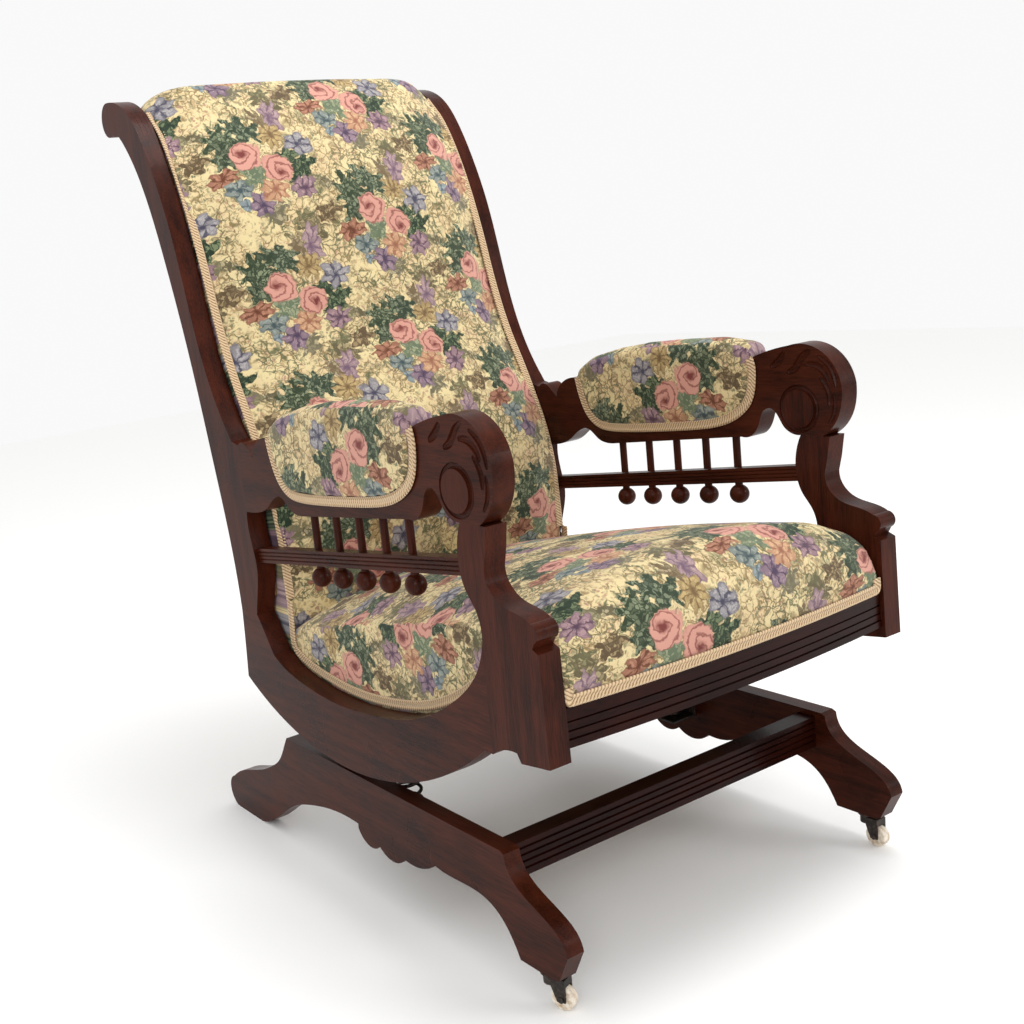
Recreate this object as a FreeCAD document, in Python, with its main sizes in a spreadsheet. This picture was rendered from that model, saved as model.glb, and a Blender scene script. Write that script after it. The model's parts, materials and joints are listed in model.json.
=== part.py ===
import FreeCAD, Part
import math
import os

# Platform rocker: a rocking armchair body on a fixed sledge base, held by coil springs.
# Millimetres. +Z is up and the sitter faces -Y, so the sitter's right side is -X.
# The origin is on the floor, under the middle of the whole chair.
# Chair outlines are drawn from the rock point: the spot on top of the base boards where
# the rockers bear at rest. The first number runs to the rear, the second one up.

doc = FreeCAD.newDocument("platform_rocker")
sheet = doc.addObject("Spreadsheet::Sheet", "Sizes")

SIZES = [
    # base
    ("base_top", 167.0),
    ("base_half_width", 282.0),
    ("base_stock", 23.0),
    ("stretcher_stock", 25.0),
    ("stretcher_height", 42.0),
    ("stretcher_drop", 7.0),
    ("front_stretcher_y", -290.0),
    ("rear_stretcher_y", 146.0),
    ("base_screw_radius", 3.0),
    # rocking
    ("rocker_radius", 515.0),
    ("rock_limit", 8.0),
    ("running_gap", 0.4),
    # side frames
    ("frame_half_width", 284.5),
    ("frame_stock", 28.5),
    ("back_reach", 503.0),
    ("scroll_radius", 25.0),
    ("flute_width", 3.4),
    ("flute_depth", 2.2),
    ("arm_joint", 188.0),
    ("post_top", 373.0),
    ("post_joint", -335.0),
    ("stile_foot", 178.0),
    ("boss_radius", 24.0),
    ("boss_rise", 2.5),
    # gallery under each arm
    ("rail_height", 20.0),
    ("rail_stock", 17.0),
    ("rail_mid", 297.0),
    ("rail_slope", 6.4),
    ("spindle_pitch", 55.2),
    ("spindle_radius", 5.2),
    ("ball_radius", 13.2),
    ("ball_neck", 4.0),
    # seat frame
    ("seat_rail_height", 43.0),
    ("seat_rail_stock", 26.0),
    ("seat_rail_foot", 139.0),
    ("seat_rail_face", 426.0),
    ("seat_bow", 13.0),
    ("side_rail_stock", 22.0),
    ("webbing_width", 50.0),
    ("webbing_stock", 2.0),
    ("seat_spring_height", 78.0),
    ("seat_spring_radius", 30.0),
    ("seat_spring_wire", 3.6),
    # upholstery
    ("cloth_gap", 0.5),
    ("seat_crown", 40.0),
    ("back_crown", 40.0),
    ("pad_wall", 7.0),
    ("gimp_width", 13.0),
    ("gimp_stock", 2.4),
    # spring units
    ("spring_wire", 4.6),
    ("spring_radius", 17.0),
    ("spring_spread", 75.0),
    ("spring_clearance", 0.3),
    ("bracket_stock", 3.0),
    ("bracket_leg", 46.0),
    ("bracket_drop", 60.0),
    ("bracket_lift", 52.0),
    ("bracket_plate", 27.0),
    # casters
    ("wheel_radius", 14.0),
    ("wheel_width", 12.0),
    ("axle_radius", 2.4),
    ("axle_play", 0.06),
    ("caster_trail", 14.0),
    ("caster_turn", 21.0),
    ("caster_y", -382.0),
    ("toe_height", 42.0),
    ("stem_radius", 4.0),
    ("socket_radius", 7.0),
    ("socket_depth", 24.0),
]
for row, (name, value) in enumerate(SIZES, start=1):
    sheet.set("A%d" % row, name)
    sheet.set("B%d" % row, str(value))
    sheet.setAlias("B%d" % row, name)
doc.recompute()


def size(name):
    return float(sheet.get(name))


nodes = []


def keep(thing, label):
    thing.Label = label
    nodes.append(thing)
    return thing


# Everything that the outlines share.
rocker_gap = size("rocker_radius") * (1 / math.cos(math.radians(size("rock_limit"))) - 1)
rocker_gap += size("running_gap")
inner_face = size("frame_half_width") - size("frame_stock")
cloth_face = inner_face - size("gimp_stock") - 2 * size("cloth_gap")
rail_front = size("seat_rail_face") + size("seat_bow") + size("gimp_stock")
rock_y = (rail_front - size("back_reach")) / 2
SIDES = (("left", 1), ("right", -1))


def place(thing, x, rocking=True, y=0.0, z=0.0, turn=0.0):
    """Puts a piece at its spot: x across, y and z from the rock point or the floor."""
    base_z = size("base_top") if rocking else 0.0
    spot = FreeCAD.Vector(x, y + rock_y, z + base_z)
    thing.Placement = FreeCAD.Placement(spot, FreeCAD.Rotation(FreeCAD.Vector(1, 0, 0), turn))
    return thing


def side_x(side, depth, inset=0.0, half_width=None):
    """Left end of a piece of this depth that lies against the outer face of one side."""
    outer = (size("frame_half_width") if half_width is None else half_width) - inset
    return outer - depth if side > 0 else -outer


# Outlines: a start point, then ("line", end), ("arc", middle, end) or ("curve", points).
def outline_edges(outline):
    here = outline[0]
    edges = []
    for step in outline[1:]:
        if step[0] == "line":
            end = step[1]
            edges.append(Part.LineSegment(FreeCAD.Vector(*here, 0), FreeCAD.Vector(*end, 0)))
        elif step[0] == "arc":
            end = step[2]
            ends = [FreeCAD.Vector(*p, 0) for p in (here, step[1], end)]
            edges.append(Part.Arc(*ends))
        else:
            end = step[1][-1]
            spline = Part.BSplineCurve()
            spline.interpolate([FreeCAD.Vector(*p, 0) for p in [here] + list(step[1])])
            edges.append(spline)
        here = end
    if math.dist(here, outline[0]) > 1e-6:
        edges.append(Part.LineSegment(FreeCAD.Vector(*here, 0), FreeCAD.Vector(*outline[0], 0)))
    return edges


def sketch_on(body, plane, name, edges):
    sketch = body.newObject("Sketcher::SketchObject", name)
    for feature in body.Origin.OriginFeatures:
        if feature.Role == plane:
            sketch.AttachmentSupport = [(feature, "")]
    sketch.MapMode = "FlatFace"
    sketch.addGeometry(edges, False)
    return sketch


def pad_on(body, plane, name, edges, length, start=None):
    sketch = sketch_on(body, plane, name + "_outline", edges)
    if start is not None:
        sketch.setExpression("AttachmentOffset.Base.z", start)
    pad = body.newObject("PartDesign::Pad", name)
    pad.Profile = sketch
    pad.setExpression("Length", length)
    return pad


def board(name, outline, length):
    """A flat board of this outline, sawn across the chair's width."""
    body = doc.addObject("PartDesign::Body", name)
    pad_on(body, "YZ_Plane", name + "_board", outline_edges(outline), length)
    return body


def trimmed(name, base, *tools):
    """What is left of a piece when the pieces that it meets are cut away."""
    for count, tool in enumerate(tools):
        cut = doc.addObject("Part::Cut", "%s_cut_%d" % (name, count))
        cut.Base = base
        cut.Tool = tool
        base = cut
    return base


def group(name, shapes):
    feature = doc.addObject("Part::Feature", name)
    feature.Shape = Part.makeCompound(shapes) if len(shapes) > 1 else shapes[0]
    return feature


def offset_line(points, distance):
    """The same open line, moved sideways by a distance: to its left if that is positive."""
    moved = []
    for i, point in enumerate(points):
        before = points[max(i - 1, 0)]
        after = points[min(i + 1, len(points) - 1)]
        along = (after[0] - before[0], after[1] - before[1])
        scale = distance / math.hypot(*along)
        moved.append((point[0] - along[1] * scale, point[1] + along[0] * scale))
    return moved


# Back stiles: S-curved boards that end in a scroll, with reeds up the front edge.
STILE_FRONT = [(449, 923), (407, 903), (365, 850), (336, 790), (313, 728), (290, 636), (265, 540),
               (236, 474), (213, 438)]
STILE_REAR = [(253, 265), (278, 408), (303, 532), (344, 682), (382, 784), (411, 834), (447, 874)]
scroll = (size("back_reach") - size("scroll_radius"), 902.0)
scroll_low = (scroll[0] - 6, scroll[1] - math.sqrt(size("scroll_radius") ** 2 - 36))
scroll_top = (scroll[0], scroll[1] + size("scroll_radius"))
arm_foot = 330.0
arm_ledge = 424.0
joint = size("arm_joint")
foot = size("stile_foot")
STILE = [
    (247, foot),
    ("curve", STILE_REAR),
    ("line", scroll_low),
    ("arc", (scroll[0] + size("scroll_radius"), scroll[1]), scroll_top),
    ("curve", STILE_FRONT),
    ("line", (207, 429)),
    ("line", (joint, arm_ledge)),
    ("line", (joint, arm_foot)),
    ("curve", [(joint - 1, 290), (joint - 8, 248), (joint, 215), (200, foot)]),
]

# Rocker boards: the arc below, the lyre-shaped opening's lower edge above.
post_face = size("post_joint")
arc_centre = size("rocker_radius") + rocker_gap
arc_depth = math.sqrt(size("rocker_radius") ** 2 - 257 ** 2)
arc_front = math.sqrt(size("rocker_radius") ** 2 - 322 ** 2)
OPENING = [(164, 126), (135, 112), (89, 101), (0, 93), (-88, 99), (-183, 118), (-265, 158),
           (-320, 206), (post_face, 238)]
ROCKER = [
    (247, foot),
    ("curve", [(251, 128), (257, arc_centre - arc_depth)]),
    ("arc", (0, rocker_gap), (-322, arc_centre - arc_front)),
    ("line", (post_face, 117)),
    ("line", (post_face, 238)),
    ("curve", list(reversed(OPENING[:-1]))),
    ("line", (191, 167)),
    ("line", (200, foot)),
]

# Front posts: the arm scroll sits on top, a rounded shelf with a quirk under it juts forward.
top = size("post_top")
POST = [
    (post_face, 117),
    ("arc", (-357, 128), (-378, 130)),
    ("line", (-384, 120)),
    ("line", (-431, 126)),
    ("line", (-429, 249)),
    ("line", (-420, 253)),
    ("line", (-424, 260)),
    ("arc", (-430, 271), (-420, 280)),
    ("curve", [(-404, 286), (-372, 294), (-357, 307), (-352, 326)]),
    ("line", (-357, 345)),
    ("line", (-362, top)),
    ("line", (-318, top)),
    ("curve", [(-310, 352), (-308, 325), (-316, 298), (-330, 279), (-337, 255), (post_face, 238)]),
]

for label, side in SIDES:
    stile = board("stile_" + label, STILE, "Sizes.frame_stock")
    band = [STILE_FRONT[0], ("curve", STILE_FRONT[1:])]
    floor = list(reversed(offset_line(STILE_FRONT, -size("flute_depth"))))
    band += [("line", floor[0]), ("curve", floor[1:])]
    for reed in (1, 2, 3):
        name = "flute_%s_%d" % (label, reed)
        sketch = sketch_on(stile, "YZ_Plane", name + "_outline", outline_edges(band))
        start = "Sizes.frame_stock * %d / 4 - Sizes.flute_width / 2" % reed
        sketch.setExpression("AttachmentOffset.Base.z", start)
        flute = stile.newObject("PartDesign::Pocket", name)
        flute.Profile = sketch
        flute.Reversed = True
        flute.setExpression("Length", "Sizes.flute_width")
    depth = size("frame_stock")
    keep(place(stile, side_x(side, depth)), "back_stile_" + label)
    post = board("post_" + label, POST, "Sizes.frame_stock")
    keep(place(post, side_x(side, depth)), "front_post_" + label)


# Arms: one board from the stile to the scroll over the post, with a turned boss on each face.
spindle_first = 21.4
under_rear = (25.0, 341.6)
under_front = (-222.0, 365.5)
ARM = [
    (joint, arm_foot),
    ("curve", [(160, 332), (126, 341), (103, 356), (87, 362)]),
    ("curve", [(72, 357), (57, 346), (44, 342), under_rear]),
    ("line", under_front),
    ("curve", [(-243, 371), (-252, 384), (-259, 400), (-272, 406)]),
    ("curve", [(-284, 396), (-292, 383), (-306, top + 1), (-318, top)]),
    ("line", (-352, top)),
    ("curve", [(-366, 384), (-383, 437)]),
    ("arc", (-355, 480), (-306, 487)),
    ("curve", [(-280, 482), (-250, 473)]),
    ("line", (-235, 462)),
    ("curve", [(-100, 456), (60, 441), (100, 439)]),
    ("curve", [(112, 439), (125, 435), (139, 425), (147, 409)]),
    ("curve", [(153, 414), (170, 428), (joint, arm_ledge)]),
]
boss_spot = (-318.0, 407.0)
slope = math.tan(math.radians(size("rail_slope")))


def rail_line(y):
    """Height of the gallery rail's middle: it rises towards the front."""
    return size("rail_mid") - slope * (y + 89)


def under_arm(y):
    rise = (under_front[1] - under_rear[1]) / (under_front[0] - under_rear[0])
    return under_rear[1] + rise * (y - under_rear[0])


def disc(x, y, z, radius, depth):
    return Part.makeCylinder(radius, depth, FreeCAD.Vector(x, y, z), FreeCAD.Vector(1, 0, 0))


def rail_section():
    """The gallery rail's end: a bar with three fine beads cut along both faces."""
    half = size("rail_stock") / 2
    tall = size("rail_height") / 2
    quirk = 1.3
    face = [(half, -tall)]
    for level in (-tall / 2, 0, tall / 2):
        face += [(half, level - quirk), (half - quirk, level), (half, level + quirk)]
    face.append((half, tall))
    back = [(-x, z) for x, z in reversed(face)]
    points = face + back
    return [points[0]] + [("line", p) for p in points[1:]]


for label, side in SIDES:
    depth = size("frame_stock")
    arm = keep(place(board("arm_board_" + label, ARM, "Sizes.frame_stock"), side_x(side, depth)),
               "arm_" + label)
    outer = side_x(side, depth)
    rise = size("boss_rise")
    bosses = [disc(outer - rise, *boss_spot, size("boss_radius"), rise),
              disc(outer + depth, *boss_spot, size("boss_radius"), rise)]
    keep(place(group("bosses_" + label, bosses), 0), "arm_bosses_" + label)

    middle = side * (size("frame_half_width") - depth / 2)
    bar = doc.addObject("PartDesign::Body", "gallery_bar_" + label)
    pad = pad_on(bar, "XZ_Plane", "gallery_" + label, outline_edges(rail_section()), "520")
    pad.Midplane = True
    place(bar, middle, y=-62, z=rail_line(-62), turn=-size("rail_slope"))
    stile = doc.getObject("stile_" + label)
    post = doc.getObject("post_" + label)
    keep(trimmed("gallery_" + label, bar, stile, post), "spindle_rail_" + label)

    spindles = []
    balls = []
    for count in range(5):
        y = spindle_first - count * size("spindle_pitch")
        half_rail = size("rail_height") / 2 / math.cos(math.radians(size("rail_slope")))
        low = rail_line(y) + half_rail + slope * size("spindle_radius")
        high = under_arm(y) - 0.1 * size("spindle_radius")
        up = FreeCAD.Vector(0, 0, 1)
        spindles.append(Part.makeCylinder(size("spindle_radius"), high - low,
                                          FreeCAD.Vector(middle, y, low), up))
        under = rail_line(y) - half_rail - slope * size("spindle_radius")
        centre = under - size("ball_neck") - size("ball_radius") + 1.5
        ball = Part.makeSphere(size("ball_radius"), FreeCAD.Vector(middle, y, centre))
        neck = Part.makeCylinder(size("spindle_radius"), under - centre,
                                 FreeCAD.Vector(middle, y, centre), up)
        balls.append(ball.fuse(neck))
    keep(place(group("spindle_set_" + label, spindles), 0), "spindles_" + label)
    keep(place(group("ball_set_" + label, balls), 0), "spindle_balls_" + label)


# Seat frame: a bowed, beaded front rail, a rear rail, two side rails and corner blocks.
def bowed(front, back, half):
    bow = size("seat_bow")
    return [(-half, -front), ("arc", (0, -front - bow), (half, -front)), ("line", (half, -back)),
            ("arc", (0, -back - bow), (-half, -back)), ("line", (-half, -front))]


seat_face = size("seat_rail_face")
seat_back = seat_face - size("seat_rail_stock")
seat_foot = size("seat_rail_foot")
front_rail = doc.addObject("PartDesign::Body", "front_rail")
LAYERS = (("foot", 0.0, 8.0, 0.0), ("quirk", 8.0, 2.0, 3.0), ("fillet", 10.0, 7.0, 1.0),
          ("hollow", 17.0, 2.0, 3.5), ("bead", 19.0, 8.0, 1.0), ("valley", 27.0, 2.0, 3.5))
for name, level, rise, set_back in LAYERS:
    edges = outline_edges(bowed(seat_face - set_back, seat_back, inner_face))
    pad_on(front_rail, "XY_Plane", "seat_rail_" + name, edges, str(rise), str(level))
edges = outline_edges(bowed(seat_face - 1.0, seat_back, inner_face))
pad_on(front_rail, "XY_Plane", "seat_rail_top", edges, "Sizes.seat_rail_height - 29", "29")
keep(place(front_rail, 0, z=seat_foot), "front_seat_rail")

seat_top_line = [(160, 92), (-60, 85), (-230, 122), (-seat_back, seat_foot + 36)]
seat_low_line = [(-seat_back, seat_foot + 2), (-230, 100), (-60, 60), (160, 64)]
SIDE_RAIL = [seat_top_line[0]] + [("line", p) for p in seat_top_line[1:] + seat_low_line]
for label, side in SIDES:
    rail = board("seat_side_" + label, SIDE_RAIL, "Sizes.side_rail_stock")
    spot = side_x(side, size("side_rail_stock"), half_width=inner_face)
    keep(place(rail, spot), "seat_side_rail_" + label)


def bar_across(name, y, z, depth, height, half, **where):
    bar = doc.addObject("Part::Box", name)
    bar.Length = 2 * half
    bar.Width = depth
    bar.Height = height
    return place(bar, -half, y=y, z=z, **where)


rear_rail = bar_across("rear_rail", 160, 64, 24, 34, inner_face)
keep(rear_rail, "rear_seat_rail")

blocks = []
block_half = inner_face - size("side_rail_stock")
for side in (1, -1):
    for y, z, out in ((160, 67, 1), (-seat_back, seat_foot + 6, -1)):
        tip = FreeCAD.Vector(side * block_half, y, z)
        along = FreeCAD.Vector(side * block_half, y - out * 40, z)
        across = FreeCAD.Vector(side * (block_half - 40), y, z)
        face = Part.Face(Part.makePolygon([tip, along, across, tip]))
        blocks.append(face.extrude(FreeCAD.Vector(0, 0, 24)))
corner_blocks = place(group("blocks", blocks), 0)
keep(trimmed("corner", corner_blocks, front_rail), "corner_blocks")

# Jute webbing under the seat, laid over and under, and six waisted seat springs on it.
web_rear = (160.0, 64.0)
web_front = (-seat_back, seat_foot)
web_run = web_rear[0] - web_front[0]
web_angle = math.degrees(math.atan2(web_front[1] - web_rear[1], web_run))


def on_web(shape):
    """Moves a shape from the webbing's own frame, with its origin at the rear, to the chair."""
    shape.rotate(FreeCAD.Vector(0, 0, 0), FreeCAD.Vector(1, 0, 0), -web_angle)
    shape.translate(FreeCAD.Vector(0, *web_rear))
    return shape


straps = []
strap = size("webbing_width")
thin = size("webbing_stock")
web_length = web_run / math.cos(math.radians(web_angle))
for count in range(5):
    x = (count - 2) * 92.0 - strap / 2
    straps.append(Part.makeBox(strap, web_length, thin, FreeCAD.Vector(x, -web_length, -thin)))
cross_pitch = web_length / 6
for count in range(6):
    y = -cross_pitch * (count + 0.5) - strap / 2
    straps.append(Part.makeBox(2 * block_half, strap, thin,
                               FreeCAD.Vector(-block_half, y, -2 * thin)))
keep(place(group("straps", [on_web(shape) for shape in straps]), 0), "seat_webbing")


# A coil of wire: half-turn biarcs on a helix whose radius and rise may change along it.
def biarc(start, start_way, end, end_way):
    chord = end - start
    ways = start_way + end_way
    spread = 2 * (1 - start_way.dot(end_way))
    reach = chord.dot(ways)
    arm_length = (-reach + math.sqrt(reach * reach + spread * chord.dot(chord))) / spread
    meet = (start + start_way * arm_length + end - end_way * arm_length) * 0.5
    return [tangent_arc(start, start_way, meet), tangent_arc(end, end_way * -1, meet, True)]


def tangent_arc(start, way, end, backwards=False):
    chord = end - start
    normal = chord - way * chord.dot(way)
    normal.normalize()
    radius = chord.dot(chord) / (2 * chord.dot(normal))
    centre = start + normal * radius
    outward = (start - centre) + (end - centre)
    outward.normalize()
    middle = centre + outward * radius
    points = (end, middle, start) if backwards else (start, middle, end)
    return Part.Arc(*points).toShape()


def coil(radius_at, height_at, turns, wire, steps_per_turn=4):
    def at(turn):
        angle = 2 * math.pi * turn
        radius = radius_at(turn / turns)
        return FreeCAD.Vector(radius * math.cos(angle), radius * math.sin(angle), height_at(turn))

    def way(turn):
        step = 1e-4
        along = at(min(turn + step, turns)) - at(max(turn - step, 0))
        along.normalize()
        return along

    edges = []
    count = int(turns * steps_per_turn)
    for i in range(count):
        begin, end = i / steps_per_turn, (i + 1) / steps_per_turn
        edges += biarc(at(begin), way(begin), at(end), way(end))
    path = Part.Wire(edges)
    ring = Part.Wire([Part.makeCircle(wire / 2, at(0), way(0))])
    tube = path.makePipeShell([ring], True, False)
    points = [at(i / 24) for i in range(int(turns * 24) + 1)]
    gap = min((points[i] - points[j]).Length for i in range(len(points))
              for j in range(i + 12, len(points))) - wire
    return tube, gap


wire = size("seat_spring_wire")
waist = size("seat_spring_radius")


def waisted(share):
    return waist * (0.72 + 0.28 * (2 * share - 1) ** 2)


rise = size("seat_spring_height") - wire
seat_coil, gap = coil(waisted, lambda turn: wire / 2 + rise * turn / 5, 5, wire)
print("seat spring: least gap to itself %.2f mm" % gap)
coil_clear = size("spring_clearance")
seat_coils = []
rear_row = -cross_pitch * 2.5
front_row = -cross_pitch * 4.5
for x in (-92, 0, 92):
    for y in (rear_row, front_row):
        seat_coils.append(on_web(seat_coil.translated(FreeCAD.Vector(x, y, coil_clear))))
keep(place(group("seat_coils", seat_coils), 0), "seat_springs")


# Stuffed pieces: smooth solids through cross sections, each made of arcs and lines.
def arched(points):
    """Closed wire from (x, y, z, bulge): the bulge is how far the side to the next point bows."""
    edges = []
    for i, (x, y, z, bulge) in enumerate(points):
        x2, y2, z2, _ = points[(i + 1) % len(points)]
        start = FreeCAD.Vector(x, y, z)
        end = FreeCAD.Vector(x2, y2, z2)
        side = end - start
        out = FreeCAD.Vector(0, side.z, -side.y)
        out.normalize()
        middle = (start + end) * 0.5 + out * bulge
        if bulge:
            edges.append(Part.Arc(start, middle, end).toShape())
        else:
            edges.append(Part.makeLine(start, end))
    return Part.Wire(edges)


def crown(x, half, power=2.4):
    """1 in the middle of the width and 0 at its sides, flat on top."""
    return 1 - min(abs(x) / half, 1) ** power


gap = size("cloth_gap")
seat_rail_top = seat_foot + size("seat_rail_height")
gimp_low = seat_rail_top + gap
gimp_high = gimp_low + size("gimp_width")
seat_setback = 1 + 2 * gap


def seat_section(x):
    bow = size("seat_bow") * (1 - (x / inner_face) ** 2)
    front = -(seat_face - seat_setback) - bow
    rise = size("seat_crown") * crown(x, cloth_face) - 4
    return [
        (x, 158, seat_top_line[0][1] + gap, 0), (x, 157, 160 + rise, 2.4), (x, -165, 228 + rise, 1.5),
        (x, -350 - bow, 256 + rise, 15), (x, front + 4, 226 + rise * 0.6, 3),
        (x, front, gimp_high, 0), (x, front, gimp_low, 0), (x, -seat_back + 2, gimp_low, 0),
        (x, seat_top_line[2][0], seat_top_line[2][1] + gap, 0),
        (x, seat_top_line[1][0], seat_top_line[1][1] + gap, 0),
    ]


shares = (-1, -0.95, -0.8, -0.5, 0, 0.5, 0.8, 0.95, 1)
seat_loft = [arched(seat_section(cloth_face * share)) for share in shares]
seat_solid = Part.makeLoft(seat_loft, True, False)
well_height = size("seat_spring_height") + 2 * coil_clear
well_run = rear_row - front_row + 4 * waist
well = Part.makeBox(184 + 4 * waist, well_run, well_height,
                    FreeCAD.Vector(-92 - 2 * waist, front_row - 2 * waist, 0))
deck_room = Part.makeBox(2 * block_half, web_length + 100, 80,
                         FreeCAD.Vector(-block_half, -web_length - 50, -80 + gap))
for room in (well, deck_room):
    seat_solid = seat_solid.cut(on_web(room))
seat_cushion = place(group("seat_stuffing", [seat_solid]), 0)

BACK_EDGE = [(162, 104), (160, 200), (164, 330), (208, 441), (262, 545), (306, 728), (358, 852),
             (404, 900)]
REAR_LINE = [(250, 190)] + STILE_REAR
panel_depth = 5.0
recess = 2.5
BACK_REAR = [(460, 896)] + list(reversed(offset_line(REAR_LINE, recess + panel_depth + 7)))
BACK_LIFT = [0.0, 0.1, 0.75, 1.0, 1.0, 0.95, 0.8, 0.35]


def smooth_arcs(points):
    """Arcs through points that run on without a corner: each follows one spline's middle."""
    vectors = [FreeCAD.Vector(*point) for point in points]
    spline = Part.BSplineCurve()
    spline.interpolate(vectors)
    marks = [spline.parameter(vector) for vector in vectors]
    edges = []
    for i in range(len(vectors) - 1):
        middle = spline.value((marks[i] + marks[i + 1]) / 2)
        edges.append(Part.Arc(vectors[i], middle, vectors[i + 1]).toShape())
    return edges


def back_section(x):
    lift = crown(x, cloth_face - size("gimp_width"), 2.2)
    forward = size("back_crown")
    top_rise = 42 * crown(x, cloth_face, 12)
    front = []
    for (y, z), share in zip(BACK_EDGE, BACK_LIFT):
        share *= lift
        front.append((x, y - forward * share * 0.93, z + forward * share * 0.3))
    front[-1] = (x, front[-1][1], front[-1][2] + top_rise * 0.75)
    rear = [(x, y, z) for y, z in BACK_REAR] + [(x, 236, 104)]
    rear[0] = (x, rear[0][1], rear[0][2] + top_rise * 0.6)
    edges = smooth_arcs(front)
    roll_start = FreeCAD.Vector(*front[-1])
    roll_end = FreeCAD.Vector(*rear[0])
    roll_top = (roll_start + roll_end) * 0.5 + FreeCAD.Vector(0, 1, 9)
    edges.append(Part.Arc(roll_start, roll_top, roll_end).toShape())
    corners = [FreeCAD.Vector(*point) for point in rear + [front[0]]]
    for i in range(len(corners) - 1):
        edges.append(Part.makeLine(corners[i], corners[i + 1]))
    return Part.Wire(edges)


back_edge = 1 - size("gimp_width") / cloth_face
back_shares = [-1, -back_edge, -0.85, -0.6, -0.3]
back_shares += [0] + [-share for share in reversed(back_shares)]
back_loft = [back_section(cloth_face * share) for share in back_shares]
back_solid = Part.makeLoft(back_loft, True, False)

# Back frame inside the upholstery: a top rail and a bottom rail between the stiles.
top_bar = bar_across("top_bar", 398, 856, 20, 36, inner_face)
low_bar = bar_across("low_bar", 196, 200, 24, 60, inner_face)
keep(top_bar, "back_top_rail")
keep(low_bar, "back_bottom_rail")
back_stuffing = place(group("back_stuffing", [back_solid]), 0)
back_cushion = trimmed("back", back_stuffing, top_bar, low_bar, rear_rail)
keep(back_cushion, "back_upholstery")
keep(trimmed("seat", seat_cushion, back_stuffing), "seat_upholstery")

# Arm pads: stuffing that saddles each arm and domes out of both faces inside its braid.
PAD_EDGE = [(98, 439.5), (93, 415), (81, 386), (62, 368), (37, 360), (-20, 361), (-142, 370.5),
            (-190, 378), (-222, 391), (-244, 410), (-252, 434), (-254, 458), (-250, 472)]
PAD_TOP = [(-240, 486), (-192, 492), (-124, 490), (-56, 486), (7, 478), (62, 466), (86, 453)]
pad_ledge = 2.0
pad_half = size("frame_stock") / 2 + size("pad_wall")
ledge_x = size("frame_stock") / 2 + pad_ledge
braid = size("gimp_width") + gap
PAD_STEPS = [(pad_half, braid + 6, 8), (pad_half - 2.5, braid + 1.5, 2), (ledge_x + 0.05, braid, 0),
             (ledge_x, 0, 0), (ledge_x / 2, 0, -4), (0, 0, -6)]


def pad_section(x, inset, sink):
    edge = offset_line(PAD_EDGE, -inset) if inset else PAD_EDGE
    points = edge + [(y, z - sink) for y, z in PAD_TOP]
    vectors = [FreeCAD.Vector(x, y, z) for y, z in points]
    return Part.makePolygon(vectors + [vectors[0]])


pad_steps = PAD_STEPS[:-1] + [(-x, inset, sink) for x, inset, sink in reversed(PAD_STEPS)]
pad_solid = Part.makeLoft([pad_section(*step) for step in pad_steps], True, True)


# Gimp: woven braid glued over the tacks along every edge of the cloth.
def braid_on(x, line, inset=0.0):
    """A flat strip of braid along a line, lying on the upright face at x."""
    near = offset_line(line, -inset) if inset else line
    far = list(reversed(offset_line(line, -inset - size("gimp_width"))))
    outline = [near[0], ("curve", near[1:]), ("line", far[0]), ("curve", far[1:])]
    edges = [edge.toShape() for edge in outline_edges(outline)]
    flat = Part.Face(Part.Wire(edges))
    turn = FreeCAD.Matrix(0, 0, 1, x, 1, 0, 0, 0, 0, 1, 0, 0, 0, 0, 0, 1)
    return flat.transformGeometry(turn).extrude(FreeCAD.Vector(size("gimp_stock"), 0, 0))


for label, side in SIDES:
    middle = side * (size("frame_half_width") - size("frame_stock") / 2)
    stuffing = place(group("pad_stuffing_" + label, [pad_solid]), middle)
    keep(trimmed("pad_" + label, stuffing, doc.getObject("arm_board_" + label)),
         "arm_pad_" + label)
    lift = 0.1
    faces = (middle + ledge_x + lift, middle - ledge_x - lift - size("gimp_stock"))
    braids = [braid_on(x, PAD_EDGE) for x in faces]
    keep(place(group("pad_gimps_" + label, braids), 0), "arm_gimp_" + label)
    seat_edge = [(160, 200), (163, 160), (164, 126)] + OPENING[1:-1]
    x = side_x(side, size("gimp_stock"), half_width=inner_face - gap)
    keep(place(group("seat_braid_" + label, [braid_on(x, seat_edge)]), 0), "seat_gimp_" + label)

# Seat-front gimp along the bowed rail, in the angle between the rail and the cloth.
front_gimp = doc.addObject("PartDesign::Body", "front_gimp_body")
gimp_reach = inner_face - gap
gimp_edges = outline_edges(bowed(seat_face + size("gimp_stock") - 1, seat_face - 1, gimp_reach))
pad_on(front_gimp, "XY_Plane", "front_gimp_strip", gimp_edges, "Sizes.gimp_width")
keep(place(front_gimp, 0, z=gimp_low), "seat_gimp_front")

# Outside back: a flat cloth-covered panel that closes the rear between the stiles.
near = offset_line(REAR_LINE, recess)
far = list(reversed(offset_line(REAR_LINE, recess + panel_depth)))
PANEL = [near[0], ("curve", near[1:]), ("line", far[0]), ("curve", far[1:])]
panel = board("outside_back", PANEL, "2 * (Sizes.frame_half_width - Sizes.frame_stock)")
keep(place(panel, -inner_face), "outside_back_panel")

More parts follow.
